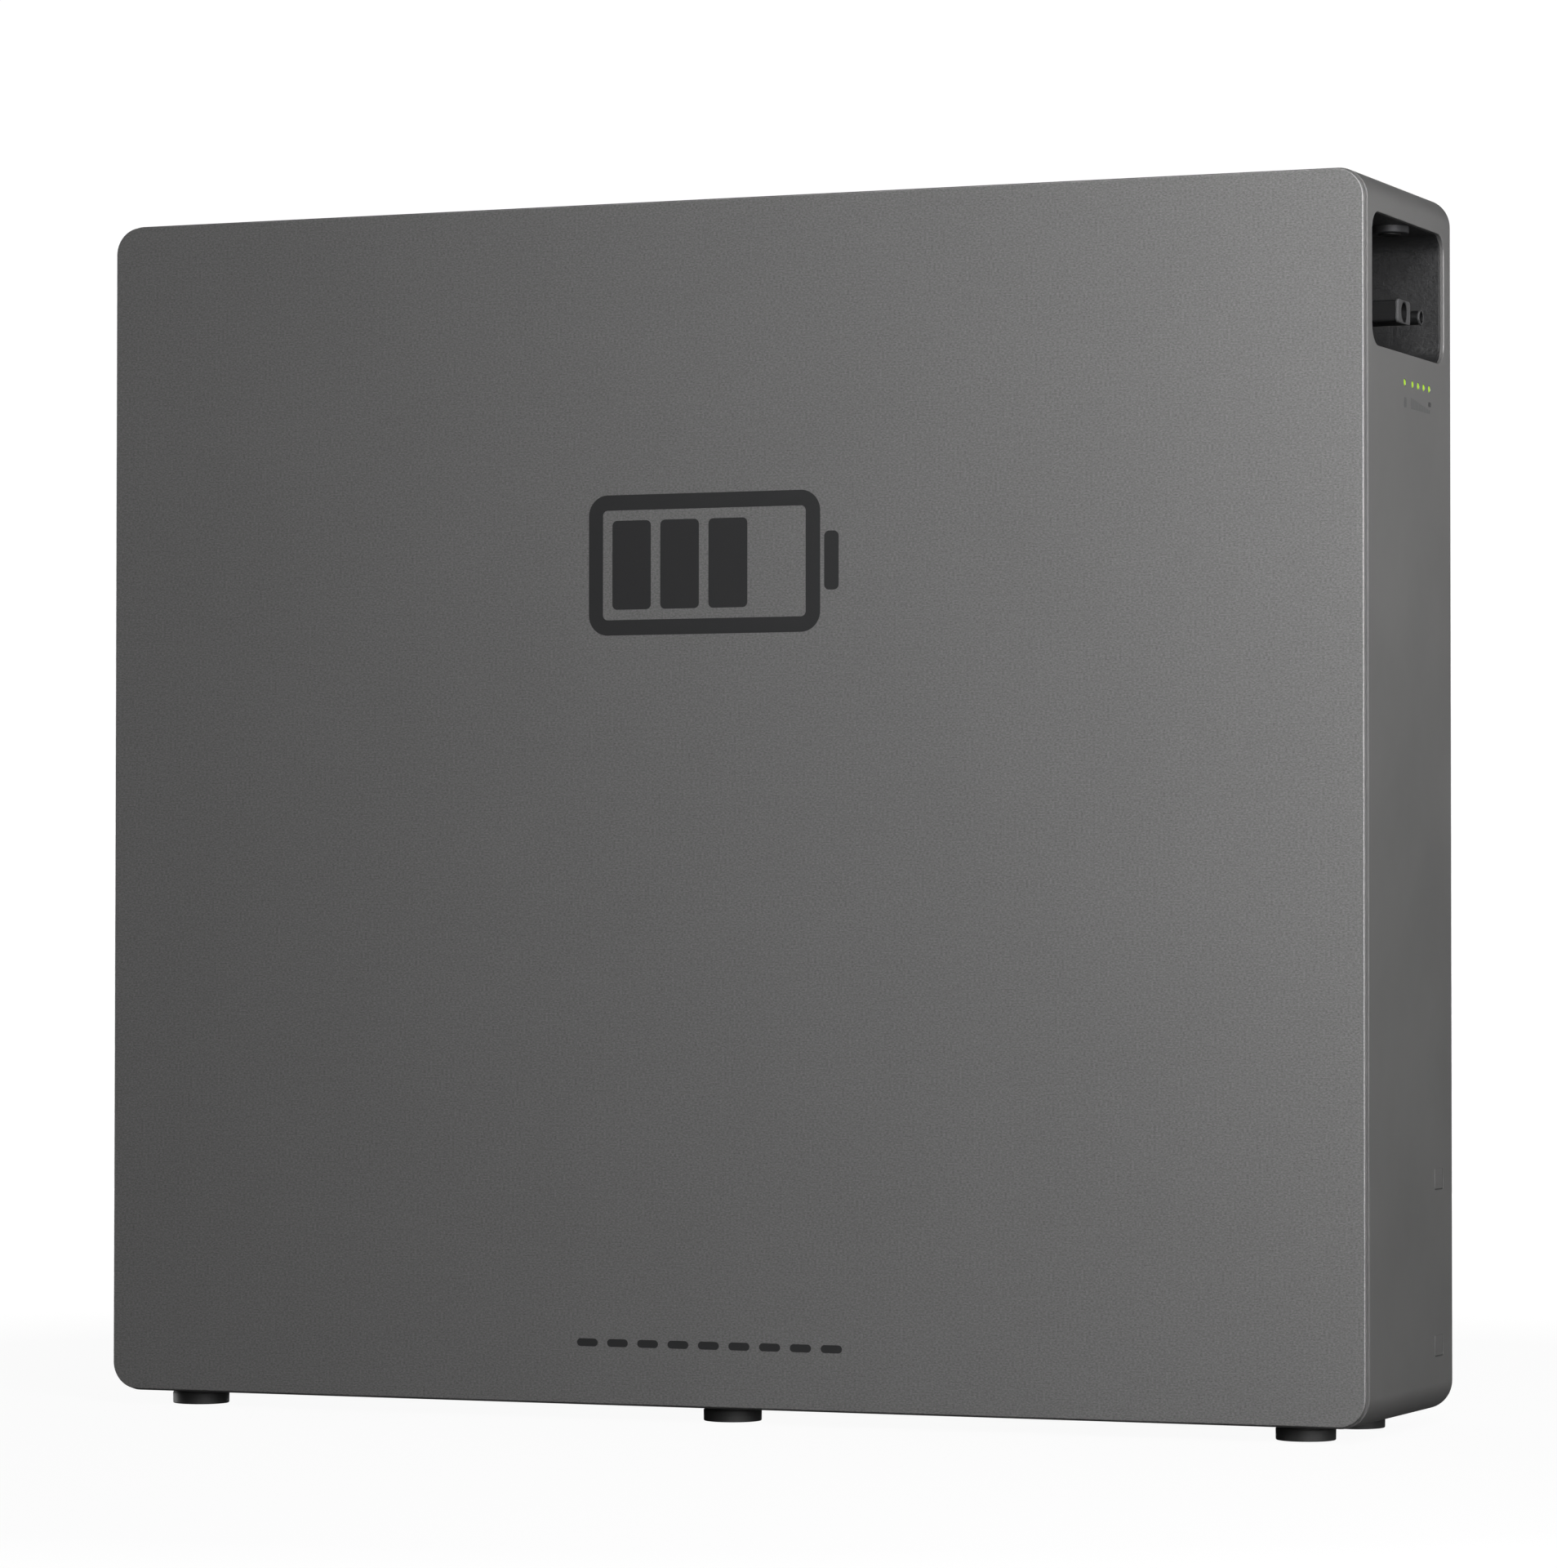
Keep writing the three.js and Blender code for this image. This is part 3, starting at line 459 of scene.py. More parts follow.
def cell_wrap():
    """Blue film shrunk over the cells, with soft wrinkles."""
    surface = Surface("cell_wrap", (0.025, 0.10, 0.33), 0.38, 0.1)
    wrinkles = surface.noise(12 * MM, stretch=(3, 1, 1), detail=4)
    surface.tint(surface.ramp(wrinkles, 0.3, 0.7, 0.9, 1.1))
    surface.vary_roughness(wrinkles, 0.3, 0.7, 0.06)
    surface.bump((wrinkles, 0.3 * MM))
    return surface.material


def cable_jacket(name, color):
    """Extruded jacket with faint die lines and scuffs."""
    surface = Surface(name, color, 0.45)
    lines = surface.noise(0.5 * MM, stretch=(1, 1, 20), detail=2)
    scuff = surface.noise(5 * MM, detail=3)
    surface.tint(surface.ramp(lines, 0.3, 0.7, 0.92, 1.08), surface.ramp(scuff, 0.4, 0.8, 1.0, 1.15))
    surface.vary_roughness(scuff, 0.3, 0.7, 0.07)
    surface.bump((lines, 0.02 * MM))
    return surface.material


MATERIALS = {
    "front_metal": front_metal(),
    "casing_metal": casing_metal(),
    "back_metal": back_metal(),
    "tray_plastic": moulded_plastic("tray_plastic", (0.0070, 0.0070, 0.0074), 0.50, texture=1.7 * MM,
                                    depth=0.22 * MM, Specular_IOR_Level=0.4),
    "black_plastic": moulded_plastic("black_plastic", (0.0030, 0.0030, 0.0032), 0.5, Specular_IOR_Level=0.16),
    "dull_zinc": moulded_plastic("dull_zinc", (0.026, 0.026, 0.027), 0.55, Specular_IOR_Level=0.4),
    "foot_rubber": rubber("foot_rubber", (0.010, 0.010, 0.010)),
    "seal_rubber": rubber("seal_rubber", (0.014, 0.014, 0.014)),
    "zinc": machined_metal("zinc", (0.13, 0.13, 0.133), 0.42),
    "steel": machined_metal("steel", (0.42, 0.43, 0.44), 0.34),
    "dark_steel": machined_metal("dark_steel", (0.040, 0.040, 0.042), 0.62, stretch=(1, 1, 8)),
    # Brass darkened far below bare brass: painted shade for the contacts deep in the socket bores.
    "brass": machined_metal("brass", (0.32, 0.22, 0.08), 0.40, stretch=(1, 6, 6)),
    "light_lens": light_lens(),
    "circuit_board": circuit_board(),
    "cell_wrap": cell_wrap(),
    "carrier_plastic": moulded_plastic("carrier_plastic", (0.69, 0.65, 0.56), 0.5),
    "relay_plastic": moulded_plastic("relay_plastic", (0.030, 0.034, 0.042), 0.4),
    "fuse_ceramic": moulded_plastic("fuse_ceramic", (0.79, 0.75, 0.65), 0.35, texture=3 * MM,
                                    depth=0.02 * MM),
    "red_cable": cable_jacket("red_cable", (0.45, 0.014, 0.012)),
    "black_cable": cable_jacket("black_cable", (0.010, 0.010, 0.011)),
    "print_ink": print_ink(),
}


def finish_cad_nodes():
    """Give every CAD node that stays its record slot's material."""
    for part in frame["record"]["subparts"]:
        mesh = frame["nodes"][part["node"]].data
        mesh.materials.clear()
        mesh.materials.append(MATERIALS[part["material_slot"]])


# ---- Casing ----
def casing_wrap():
    """The bent sheet that makes the casing's sides, with its two flanges and every hole that is cut in it."""
    low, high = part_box("casing_wrap")
    size = high - low
    centre_z = (low.z + high.z) / 2
    rear_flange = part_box("rear_gasket")[0].y - SEAL_CLEARANCE
    inner_front, inner_rear = low.y + SHEET, rear_flange - SHEET
    profile = softened([
        (-FLANGE_REACH, low.y, 0.3 * MM), (0, low.y, 0.15 * MM), (0, high.y, 1.1 * MM),
        (-SHEET, high.y, 0.4 * MM), (-SHEET, rear_flange, 0), (-FLANGE_REACH, rear_flange, 0.3 * MM),
        (-FLANGE_REACH, inner_rear, 0.3 * MM), (-SHEET, inner_rear, 0), (-SHEET, inner_front, 0),
        (-FLANGE_REACH, inner_front, 0.3 * MM),
    ], closed=True)
    build = Build()
    outline = rectangle_at(size.x, size.z, CASE_CORNER)
    _, loops = build.sweep(outline, profile, across_y, at=(0, centre_z), closed=True,
                           pierced=("left", "right", "bottom"))

    def cut(outline_at, side_x, at, rounding):
        inner_x = side_x - math.copysign(SHEET, side_x)
        return build.tunnel(outline_at, side_x, inner_x, across_x, at, rounding)

    pocket = rectangle_at(*pocket_size(), POCKET_CORNER)
    pocket_at = (0, box_of("right_pocket_tray")[0].z)
    for side, side_x in (("left", low.x), ("right", high.x)):
        holes = [cut(pocket, side_x, pocket_at, CUT_EDGE)]
        if side == "right":
            holes += [light_hole(cut, side_x, node) for node in light_nodes()]
            holes += [window_hole(cut, side_x, node) for node in ("window_plug_upper", "window_plug_lower")]
        build.fill(loops[side][0], [outer for outer, _ in holes])
        build.fill(loops[side][1], [inner for _, inner in holes])

    screw_holes = []
    for node in foot_nodes():
        centre, _ = box_of(node)
        screw_holes.append(build.tunnel(bore_at(FOOT_SCREW_HOLE, 24), low.z, low.z + SHEET, across_z,
                                        (centre.x, centre.y), 0.2 * MM))
    build.fill(loops["bottom"][0], [outer for outer, _ in screw_holes])
    build.fill(loops["bottom"][1], [inner for _, inner in screw_holes])
    piece(build, "casing_wrap_sheet", MATERIALS["casing_metal"], ["casing_wrap"])


def pocket_size():
    """Width and height of the pocket's opening, from its tray."""
    _, size = box_of("right_pocket_tray")
    return size.y - 2 * TRAY_WALL, size.z - 2 * TRAY_WALL - 2 * TRAY_RIM


def light_nodes():
    return ["light_pipe_status", *(f"light_pipe_charge_{i}" for i in range(1, 5))]


def foot_nodes():
    return [f"foot_{row}_{column}" for row in ("front", "rear") for column in ("left", "middle", "right")]


def light_hole(cut, side_x, node):
    centre, _ = box_of(node)
    return cut(bore_at(LIGHT_HOLE), side_x, (centre.y, centre.z), 0.15 * MM)


def window_outline(size, clearance):
    """Outline family of a window's hole, or of what fits it with a clearance."""
    beside, above = (gap - WINDOW_LIP - clearance for gap in WINDOW_SHADOW_GAP)
    return rectangle_at(size.y + 2 * beside, size.z + 2 * above, 1.2 * MM, 5)


def window_hole(cut, side_x, node):
    centre, size = box_of(node)
    outline = window_outline(size, 0)
    return cut(outline, side_x, (centre.y, centre.z), 0.1 * MM)


def window_plugs():
    """The rubber plugs that fill the two side windows, and the thin metal cover on each of them. A cover sits
    against the front upper corner of its hole, so that the plug's dark rubber shows only behind and below it,
    as painted shadow."""
    touching = 0.05 * MM
    # Pushing each cover into the front upper corner leaves the wider gap behind and below it, where the dark
    # rubber is painted shadow.
    to_front, to_top = (gap - touching for gap in WINDOW_SHADOW_GAP)
    proud, sunk = 0.1 * MM, 0.08 * MM
    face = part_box("casing_wrap")[1].x
    front, back = face + proud, face - sunk
    flange, flange_thickness, inset = 1.5 * MM, 0.6 * MM, 2 * MM
    for name in ("window_plug_upper", "window_plug_lower"):
        centre, size = box_of(name)
        low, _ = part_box(name)
        step = low.x + flange_thickness
        plug = Build()
        plug.sweep(window_outline(size, 0.02 * MM), softened([
            (flange, low.x, 0), (flange, step, 0), (0, step, 0), (0, back, 0.1 * MM), (-inset, back, 0)],
            steps=4), across_x, at=(centre.y, centre.z))
        piece(plug, f"{name}_body", MATERIALS["seal_rubber"], [name])
        cover = Build()
        cover.sweep(rectangle_at(size.y - 2 * WINDOW_LIP, size.z - 2 * WINDOW_LIP, 1 * MM, 5), softened([
            (-inset, back, 0), (0, back, 0), (0, front, 0.08 * MM), (-inset, front, 0)],
            steps=4), across_x, at=(centre.y - to_front, centre.z + to_top))
        piece(cover, f"{name}_cover", MATERIALS["casing_metal"])


def front_panel():
    """The flat front sheet with its rounded, light-catching edge."""
    low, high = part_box("front_panel")
    size = high - low
    profile = softened([
        (-4 * MM, high.y, 0), (0, high.y, 0.4 * MM), (0, low.y, 0.7 * MM), (-6 * MM, low.y, 0)], steps=8)
    build = Build()
    build.sweep(rectangle_at(size.x, size.z, CASE_CORNER - 1 * MM), profile, across_y,
                at=(0, (low.z + high.z) / 2))
    piece(build, "front_panel_sheet", MATERIALS["front_metal"], ["front_panel"])


def rear_panel():
    """The back plate with its shallow pressed field and the screws that hold it."""
    low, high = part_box("rear_panel")
    size = high - low
    at = (0, (low.z + high.z) / 2)
    field_width, field_height, field_depth = 0.6, 0.52, 1.2 * MM
    build = Build()
    corner = CASE_CORNER - 3 * MM
    edge = softened([(-5 * MM, low.y, 0), (0, low.y, 0.3 * MM), (0, high.y, 0.6 * MM), (-5 * MM, high.y, 0)])
    rings, _ = build.sweep(rectangle_at(size.x, size.z, corner), edge, across_y, at=at, caps=(True, False))
    field = softened([
        (8 * MM, high.y, 0), (4.5 * MM, high.y, 3 * MM), (0, high.y - field_depth, 3 * MM),
        (-6 * MM, high.y - field_depth, 0)], steps=8)
    pressed, _ = build.sweep(rectangle_at(field_width, field_height, 22 * MM), field, across_y, at=at,
                             caps=(False, True))
    build.fill(rings[-1], [pressed[0]])
    piece(build, "rear_panel_plate", MATERIALS["back_metal"], ["rear_panel"])
    rear_screws(high.y, at[1], size)


def rear_screws(face_y, centre_z, size):
    """Low pan-head screws around the back plate's border, each with a round recess."""
    border = 20 * MM
    half_width, half_height = size.x / 2 - border, size.z / 2 - border
    across, up = 5, 3
    places = []
    for i in range(across):
        x = -half_width + 2 * half_width * i / (across - 1)
        places += [(x, centre_z - half_height), (x, centre_z + half_height)]
    for i in range(1, up + 1):
        z = centre_z - half_height + 2 * half_height * i / (up + 1)
        places += [(-half_width, z), (half_width, z)]
    build = Build()
    for at in places:
        head = softened([
            (1 * MM, face_y - 0.2 * MM, 0), (3.6 * MM, face_y - 0.2 * MM, 0),
            (4.3 * MM, face_y + 0.1 * MM, 0.2 * MM), (3.4 * MM, face_y + 1.6 * MM, 0.9 * MM),
            (1.9 * MM, face_y + 1.6 * MM, 0)])
        rings, _ = build.sweep(circle_at(36), head, across_y, at=at, caps=(True, False))
        recess = [build.ring(polygon(radius, 36), depth, across_y, at) for radius, depth in (
            (1.75 * MM, face_y + 1.45 * MM), (1.7 * MM, face_y + 0.5 * MM))]
        build.bridge(rings[-1], recess[0])
        build.bridge(recess[0], recess[1])
        build.fill(recess[1])
    piece(build, "rear_panel_screws", MATERIALS["steel"])


# ---- Pockets ----
def pocket_tray(node, holes, ceiling_holes=()):
    """A moulded box behind a side opening. holes are (outline family, (y, z)) in the wall that faces the
    opening, and ceiling_holes are (outline family, (x, y)) in its ceiling."""
    low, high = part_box(node)
    at = (0, (low.z + high.z) / 2)
    outward = 1 if high.x > 0 else -1
    mouth = high.x if outward > 0 else low.x
    back = low.x if outward > 0 else high.x
    floor = back + outward * TRAY_WALL
    width, height = pocket_size()

    def outline(offset):
        """Offsets beyond the wall's outside make the rim, which only stands out above and below."""
        rim = max(0, offset - TRAY_WALL)
        grow = min(offset, TRAY_WALL)
        return rounded_rectangle(width + 2 * grow, height + 2 * grow + 2 * rim, POCKET_CORNER + grow / 2)

    rim_back = mouth - outward * 2.3 * MM
    profile = softened([
        (-9 * MM, floor, 0), (0, floor, 3.5 * MM), (0, mouth, 0.4 * MM),
        (TRAY_WALL + TRAY_RIM, mouth, 0.3 * MM), (TRAY_WALL + TRAY_RIM, rim_back, 0),
        (TRAY_WALL, rim_back, 0), (TRAY_WALL, back, 0.6 * MM), (-9 * MM, back, 0)], steps=6)
    build = Build()
    rings, loops = build.sweep(outline, profile, across_x, at=at, caps=(False, False),
                               pierced=("top",) if ceiling_holes else ())
    through = [build.tunnel(hole, floor, back, across_x, place, 0.2 * MM) for hole, place in holes]
    build.fill(rings[0], [outer for outer, _ in through])
    build.fill(rings[-1], [inner for _, inner in through])
    if ceiling_holes:
        ceiling = at[1] + height / 2
        bored = [build.tunnel(hole, ceiling, ceiling + TRAY_WALL, across_z, place, 0.2 * MM)
                 for hole, place in ceiling_holes]
        build.fill(loops["top"][0], [outer for outer, _ in bored])
        build.fill(loops["top"][1], [inner for _, inner in bored])
    piece(build, f"{node}_moulding", MATERIALS["tray_plastic"], [node])


def pocket_trays():
    """Both trays, with the holes that the sockets, the earth stud, the button and the vent go through."""
    power, _ = box_of("power_socket_face")
    comm, _ = box_of("comm_socket_ring")
    earth, _ = box_of("earth_stud")
    button, _ = box_of("button_bezel")
    vent, _ = box_of("breather_vent")
    power_hole = rectangle_at(23.4 * MM, 13.6 * MM, 1.8 * MM, 5)
    comm_hole, earth_hole = bore_at(4.4 * MM), bore_at(3.3 * MM)
    button_hole, vent_hole = bore_at(8.1 * MM), bore_at(6.3 * MM)
    pocket_tray("right_pocket_tray", [
        (power_hole, (power.y, power.z)),
        (comm_hole, (comm.y, comm.z)),
        (earth_hole, (earth.y, earth.z)),
    ], [(button_hole, (button.x, button.y))])
    pocket_tray("left_pocket_tray", [(vent_hole, (vent.y, vent.z))])


def push_button():
    """The metal bezel and the black cap that slides in it."""
    low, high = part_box("button_bezel")
    at = ((low.x + high.x) / 2, (low.y + high.y) / 2)
    radius = (high.x - low.x) / 2
    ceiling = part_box("button_nut")[0].z - TRAY_WALL - 0.2 * MM
    cap_low, cap_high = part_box("power_button")
    cap_radius = (cap_high.x - cap_low.x) / 2
    bore = cap_radius + 0.3 * MM
    face = low.z
    build = Build()
    build.sweep(circle_at(64), softened([
        (bore, face, 0.35 * MM), (radius, face, 0.9 * MM), (radius, ceiling - 0.1 * MM, 0.1 * MM),
        (7.8 * MM, ceiling - 0.1 * MM, 0), (7.8 * MM, high.z, 0.4 * MM), (5 * MM, high.z, 0.2 * MM),
        (5 * MM, ceiling + 6.5 * MM, 0), (3 * MM, ceiling + 6.5 * MM, 0), (3 * MM, ceiling + 3.2 * MM, 0),
        (bore, ceiling + 3.2 * MM, 0)], closed=True), across_z, at=at, closed=True)
    piece(build, "button_bezel_ring", MATERIALS["dark_steel"], ["button_bezel"])

    cap = Build()
    head_back = ceiling - 2.4 * MM
    collar = ceiling + 6.7 * MM
    cap.sweep(circle_at(64), softened([
        (1.0 * MM, cap_low.z + 0.5 * MM, 0), (3.5 * MM, cap_low.z + 0.45 * MM, 2 * MM),
        (5.2 * MM, cap_low.z, 1 * MM), (cap_radius, cap_low.z, 0.6 * MM), (cap_radius, head_back, 0.1 * MM),
        (2.7 * MM, head_back, 0), (2.7 * MM, collar, 0), (3.8 * MM, collar, 0),
        (2.2 * MM, collar + 1.2 * MM, 0), (2.2 * MM, cap_high.z, 0.3 * MM), (0.6 * MM, cap_high.z, 0),
    ]), across_z, at=at)
    piece(cap, "power_button_cap", MATERIALS["black_plastic"], ["power_button"],
          "power_button")


def button_spring():
    """The return spring, a coil of round wire."""
    low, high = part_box("button_spring")
    centre, _ = box_of("button_bezel")
    wire, wire_sides, turns, steps = 0.35 * MM, 12, 3, 32
    radius = high.x - centre.x - wire
    length = high.z - low.z

    def around(u, v, turn):
        angle = 2 * math.pi * turn
        reach = radius + u
        rise = (length - 2 * wire) * turn / turns
        return centre.x + reach * math.cos(angle), centre.y + reach * math.sin(angle), low.z + wire + rise + v

    build = Build()
    build.sweep(circle_at(wire_sides), [(wire, i / steps) for i in range(turns * steps + 1)], around)
    coil = piece(build, "button_spring_coil", MATERIALS["steel"], ["button_spring"])
    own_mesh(coil)


def power_socket():
    """The power socket's shaft and collar with its lined bore, and the dull face plate around it."""
    low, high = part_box("power_socket_body")
    face_low, face_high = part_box("power_socket_face")
    size = face_high - face_low
    at = ((face_low.y + face_high.y) / 2, (face_low.z + face_high.z) / 2)
    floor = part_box("right_pocket_tray")[0].x + TRAY_WALL
    bore_radius, bore_depth, lining = 5.3 * MM, 32 * MM, 0.6 * MM
    bore_end = face_high.x - bore_depth

    def shaft_outline(offset):
        width, height = size.y - 1.4 * MM, size.z - 1 * MM
        return rounded_rectangle(width + 2 * offset, height + 1.6 * offset, 1.6 * MM + offset)

    count = len(shaft_outline(0))
    build = Build()
    shaft, _ = build.sweep(shaft_outline, softened([
        (-3 * MM, low.x, 0), (0, low.x, 0.4 * MM), (0, floor, 0), (5.4 * MM, floor + 0.2 * MM, 0.2 * MM),
        (5.4 * MM, floor + 3.2 * MM, 0.7 * MM), (0.2 * MM, floor + 3.2 * MM, 0.8 * MM), (0, high.x, 0.3 * MM),
        (-0.9 * MM, high.x, 0)]), across_x, at=at, caps=(True, False))
    lip = face_high.x - 0.2 * MM
    entry_radius = bore_radius + lining
    bore_steps = ((entry_radius, high.x), (entry_radius, lip), (bore_radius, lip), (bore_radius, bore_end))
    bore = [build.ring(polygon(radius, count, math.pi / 4), depth, across_x, at)
            for radius, depth in bore_steps]
    build.fill(shaft[-1], [bore[0]])
    for outer, inner in zip(bore, bore[1:]):
        build.bridge(outer, inner)
    build.fill(bore[-1])
    piece(build, "power_socket_shaft", MATERIALS["black_plastic"], ["power_socket_body"])

    plate = Build()
    outline = rectangle_at(size.y, size.z, 2.4 * MM)
    outer, _ = plate.sweep(outline, softened([
        (-2 * MM, face_low.x, 0), (0, face_low.x, 0.1 * MM), (0, face_high.x, 0.5 * MM),
        (-1.2 * MM, face_high.x, 0)]), across_x, at=at, caps=(False, False))
    entry = plate.tunnel(bore_at(entry_radius, 64), face_high.x, face_low.x, across_x, at, 0.2 * MM)
    plate.fill(outer[-1], [entry[0]])
    plate.fill(outer[0], [entry[1]])
    piece(plate, "power_socket_plate", MATERIALS["dull_zinc"], ["power_socket_face"])


def comm_socket():
    """The data socket's stem and collar with its lined bore, and the dull ring around it."""
    low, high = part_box("comm_socket_body")
    ring_low, ring_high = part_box("comm_socket_ring")
    at = ((ring_low.y + ring_high.y) / 2, (ring_low.z + ring_high.z) / 2)
    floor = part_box("right_pocket_tray")[0].x + TRAY_WALL
    radius, bore, lining = 4.1 * MM, 3.2 * MM, 0.5 * MM
    lip = ring_high.x - 0.15 * MM
    bore_end = ring_high.x - 12 * MM
    build = Build()
    build.sweep(circle_at(), softened([
        (2 * MM, low.x, 0), (radius, low.x, 0.4 * MM), (radius, floor + 0.2 * MM, 0),
        (8 * MM, floor + 0.2 * MM, 0.2 * MM), (8 * MM, floor + 2.7 * MM, 0.6 * MM),
        (radius, floor + 2.7 * MM, 0.5 * MM), (radius, high.x, 0.15 * MM), (bore + lining, high.x, 0),
        (bore + lining, lip, 0), (bore, lip, 0.1 * MM), (bore, bore_end, 0.2 * MM), (1 * MM, bore_end, 0),
    ]), across_x, at=at)
    piece(build, "comm_socket_stem", MATERIALS["black_plastic"], ["comm_socket_body"])
    outer = (ring_high.y - ring_low.y) / 2
    ring = Build()
    ring.sweep(circle_at(), softened([
        (bore + lining, ring_low.x, 0.1 * MM), (outer, ring_low.x, 0.1 * MM), (outer, ring_high.x, 0.25 * MM),
        (bore + lining, ring_high.x, 0.1 * MM)], closed=True), across_x, at=at, closed=True)
    piece(ring, "comm_socket_rim", MATERIALS["dull_zinc"], ["comm_socket_ring"])


def hexagon_at(sides=48):
    """Outline family of a hexagon across its corners, sampled evenly so that it can meet a circle."""
    def outline(radius):
        points = []
        for u, v in polygon(1, sides):
            angle = math.atan2(v, u) % (math.pi / 3) - math.pi / 6
            reach = radius * math.cos(math.pi / 6) / math.cos(angle)
            points.append((u * reach, v * reach))
        return points
    return outline


def earth_stud():
    """A washer and a hexagon head, chamfered at its corners."""
    low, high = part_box("earth_stud")
    at = ((low.y + high.y) / 2, (low.z + high.z) / 2)
    washer_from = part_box("right_pocket_tray")[0].x + TRAY_WALL + 0.1 * MM
    build = Build()
    build.sweep(circle_at(), softened([
        (1 * MM, low.x, 0), (3 * MM, low.x, 0.3 * MM), (3 * MM, washer_from, 0),
        (6.5 * MM, washer_from, 0.2 * MM), (6.5 * MM, washer_from + 1.2 * MM, 0.3 * MM),
        (4 * MM, washer_from + 1.2 * MM, 0)]), across_x, at=at)
    build.sweep(hexagon_at(), softened([
        (4 * MM, washer_from + 1.1 * MM, 0), (5.8 * MM, washer_from + 1.1 * MM, 0),
        (5.8 * MM, high.x, 0.8 * MM), (3.5 * MM, high.x, 0)]), across_x, at=at)
    piece(build, "earth_stud_bolt", MATERIALS["steel"], ["earth_stud"])


def breather_vent():
    """A fluted cap over the pressure vent."""
    low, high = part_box("breather_vent")
    at = ((low.y + high.y) / 2, (low.z + high.z) / 2)
    head_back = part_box("left_pocket_tray")[1].x - TRAY_WALL
    flutes, flute_depth = 12, 0.45 * MM

    def fluted(radius):
        """Only the head is wide enough to carry the flutes."""
        depth = flute_depth if radius > 9.5 * MM else 0
        points = []
        for u, v in polygon(radius, 120):
            wave = (1 + math.cos(flutes * math.atan2(v, u))) / 2
            reach = 1 - depth * wave / radius
            points.append((u * reach, v * reach))
        return points

    build = Build()
    build.sweep(fluted, softened([
        (2 * MM, high.x, 0), (6 * MM, high.x, 0.4 * MM), (6 * MM, head_back, 0),
        (11 * MM, head_back, 0.3 * MM), (11 * MM, low.x, 1.3 * MM), (7 * MM, low.x, 0.6 * MM),
        (6 * MM, low.x + 0.8 * MM, 0.5 * MM), (1 * MM, low.x + 0.8 * MM, 0)]), across_x, at=at)
    piece(build, "breather_vent_cap", MATERIALS["black_plastic"], ["breather_vent"])


def light_lenses():
    """Small domed lenses, flush with the casing."""
    for name in light_nodes():
        low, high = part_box(name)
        at = ((low.y + high.y) / 2, (low.z + high.z) / 2)
        flange = (high.y - low.y) / 2
        shoulder = high.x - 2.8 * MM
        flange_back = shoulder - 3 * MM
        build = Build()
        build.sweep(circle_at(), softened([
            (0.5 * MM, low.x, 0), (LENS_RADIUS, low.x, 0.2 * MM), (LENS_RADIUS, flange_back, 0),
            (flange, flange_back, 0), (flange, shoulder, 0.2 * MM), (LENS_RADIUS, shoulder, 0),
            (LENS_RADIUS, high.x, 0.8 * MM), (0.2 * MM, high.x, 0)], steps=8), across_x, at=at)
        piece(build, f"{name}_lens", MATERIALS["light_lens"], [name])


# ---- Feet ----
def feet():
    """Moulded rubber feet with a moulded step at the top, and the pan-head screws in their recesses."""
    for name in foot_nodes():
        low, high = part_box(name)
        at = ((low.x + high.x) / 2, (low.y + high.y) / 2)
        radius = (high.x - low.x) / 2
        recess, recess_top = 5.5 * MM, 5.2 * MM
        foot = Build()
        foot.sweep(circle_at(72), softened([
            (recess, low.z, 0.5 * MM), (radius - 0.1 * MM, low.z, 0.7 * MM),
            (radius, high.z - 1.9 * MM, 0.15 * MM), (radius - 0.4 * MM, high.z - 1.6 * MM, 0.15 * MM),
            (radius - 0.4 * MM, high.z, 0.2 * MM), (FOOT_SCREW_HOLE, high.z, 0),
            (FOOT_SCREW_HOLE, recess_top, 0), (recess, recess_top, 0.4 * MM)], closed=True),
            across_z, at=at, closed=True)
        piece(foot, f"{name}_pad", MATERIALS["foot_rubber"], [name])

        screw_name = name.replace("foot_", "foot_screw_")
        screw_low, screw_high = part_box(screw_name)
        head, shank = 4 * MM, 1.75 * MM
        seat = recess_top - 0.1 * MM
        screw = Build()
        rings, _ = screw.sweep(circle_at(), softened([
            (1 * MM, screw_high.z, 0), (shank, screw_high.z, 0.3 * MM), (shank, seat, 0),
            (head, seat, 0.2 * MM), (3.5 * MM, screw_low.z, 0.8 * MM), (1.8 * MM, screw_low.z, 0)]),
            across_z, at=at, caps=(True, False))
        socket_radius, socket_depth = 1.6 * MM, 1.5 * MM
        socket = [screw.ring(hexagon_at()(socket_radius), z, across_z, at)
                  for z in (screw_low.z, screw_low.z + socket_depth)]
        screw.bridge(rings[-1], socket[0])
        screw.bridge(socket[0], socket[1])
        screw.fill(socket[1])
        piece(screw, f"{screw_name}_head", MATERIALS["steel"], [screw_name])


# ---- Prints: generic marks only ----
def printed(build, outline_at, offsets, face, outward, plane, at):
    """A thin raised print between an outline and, where there are two offsets, a smaller one inside it."""
    sunk, proud = face - outward * 0.02 * MM, face + outward * PRINT_THICKNESS
    outer = [(offsets[0], sunk), (offsets[0], proud)]
    if len(offsets) == 2:
        build.sweep(outline_at, [*outer, (offsets[1], proud), (offsets[1], sunk)], plane, at, closed=True)
    else:
        build.sweep(outline_at, outer, plane, at)


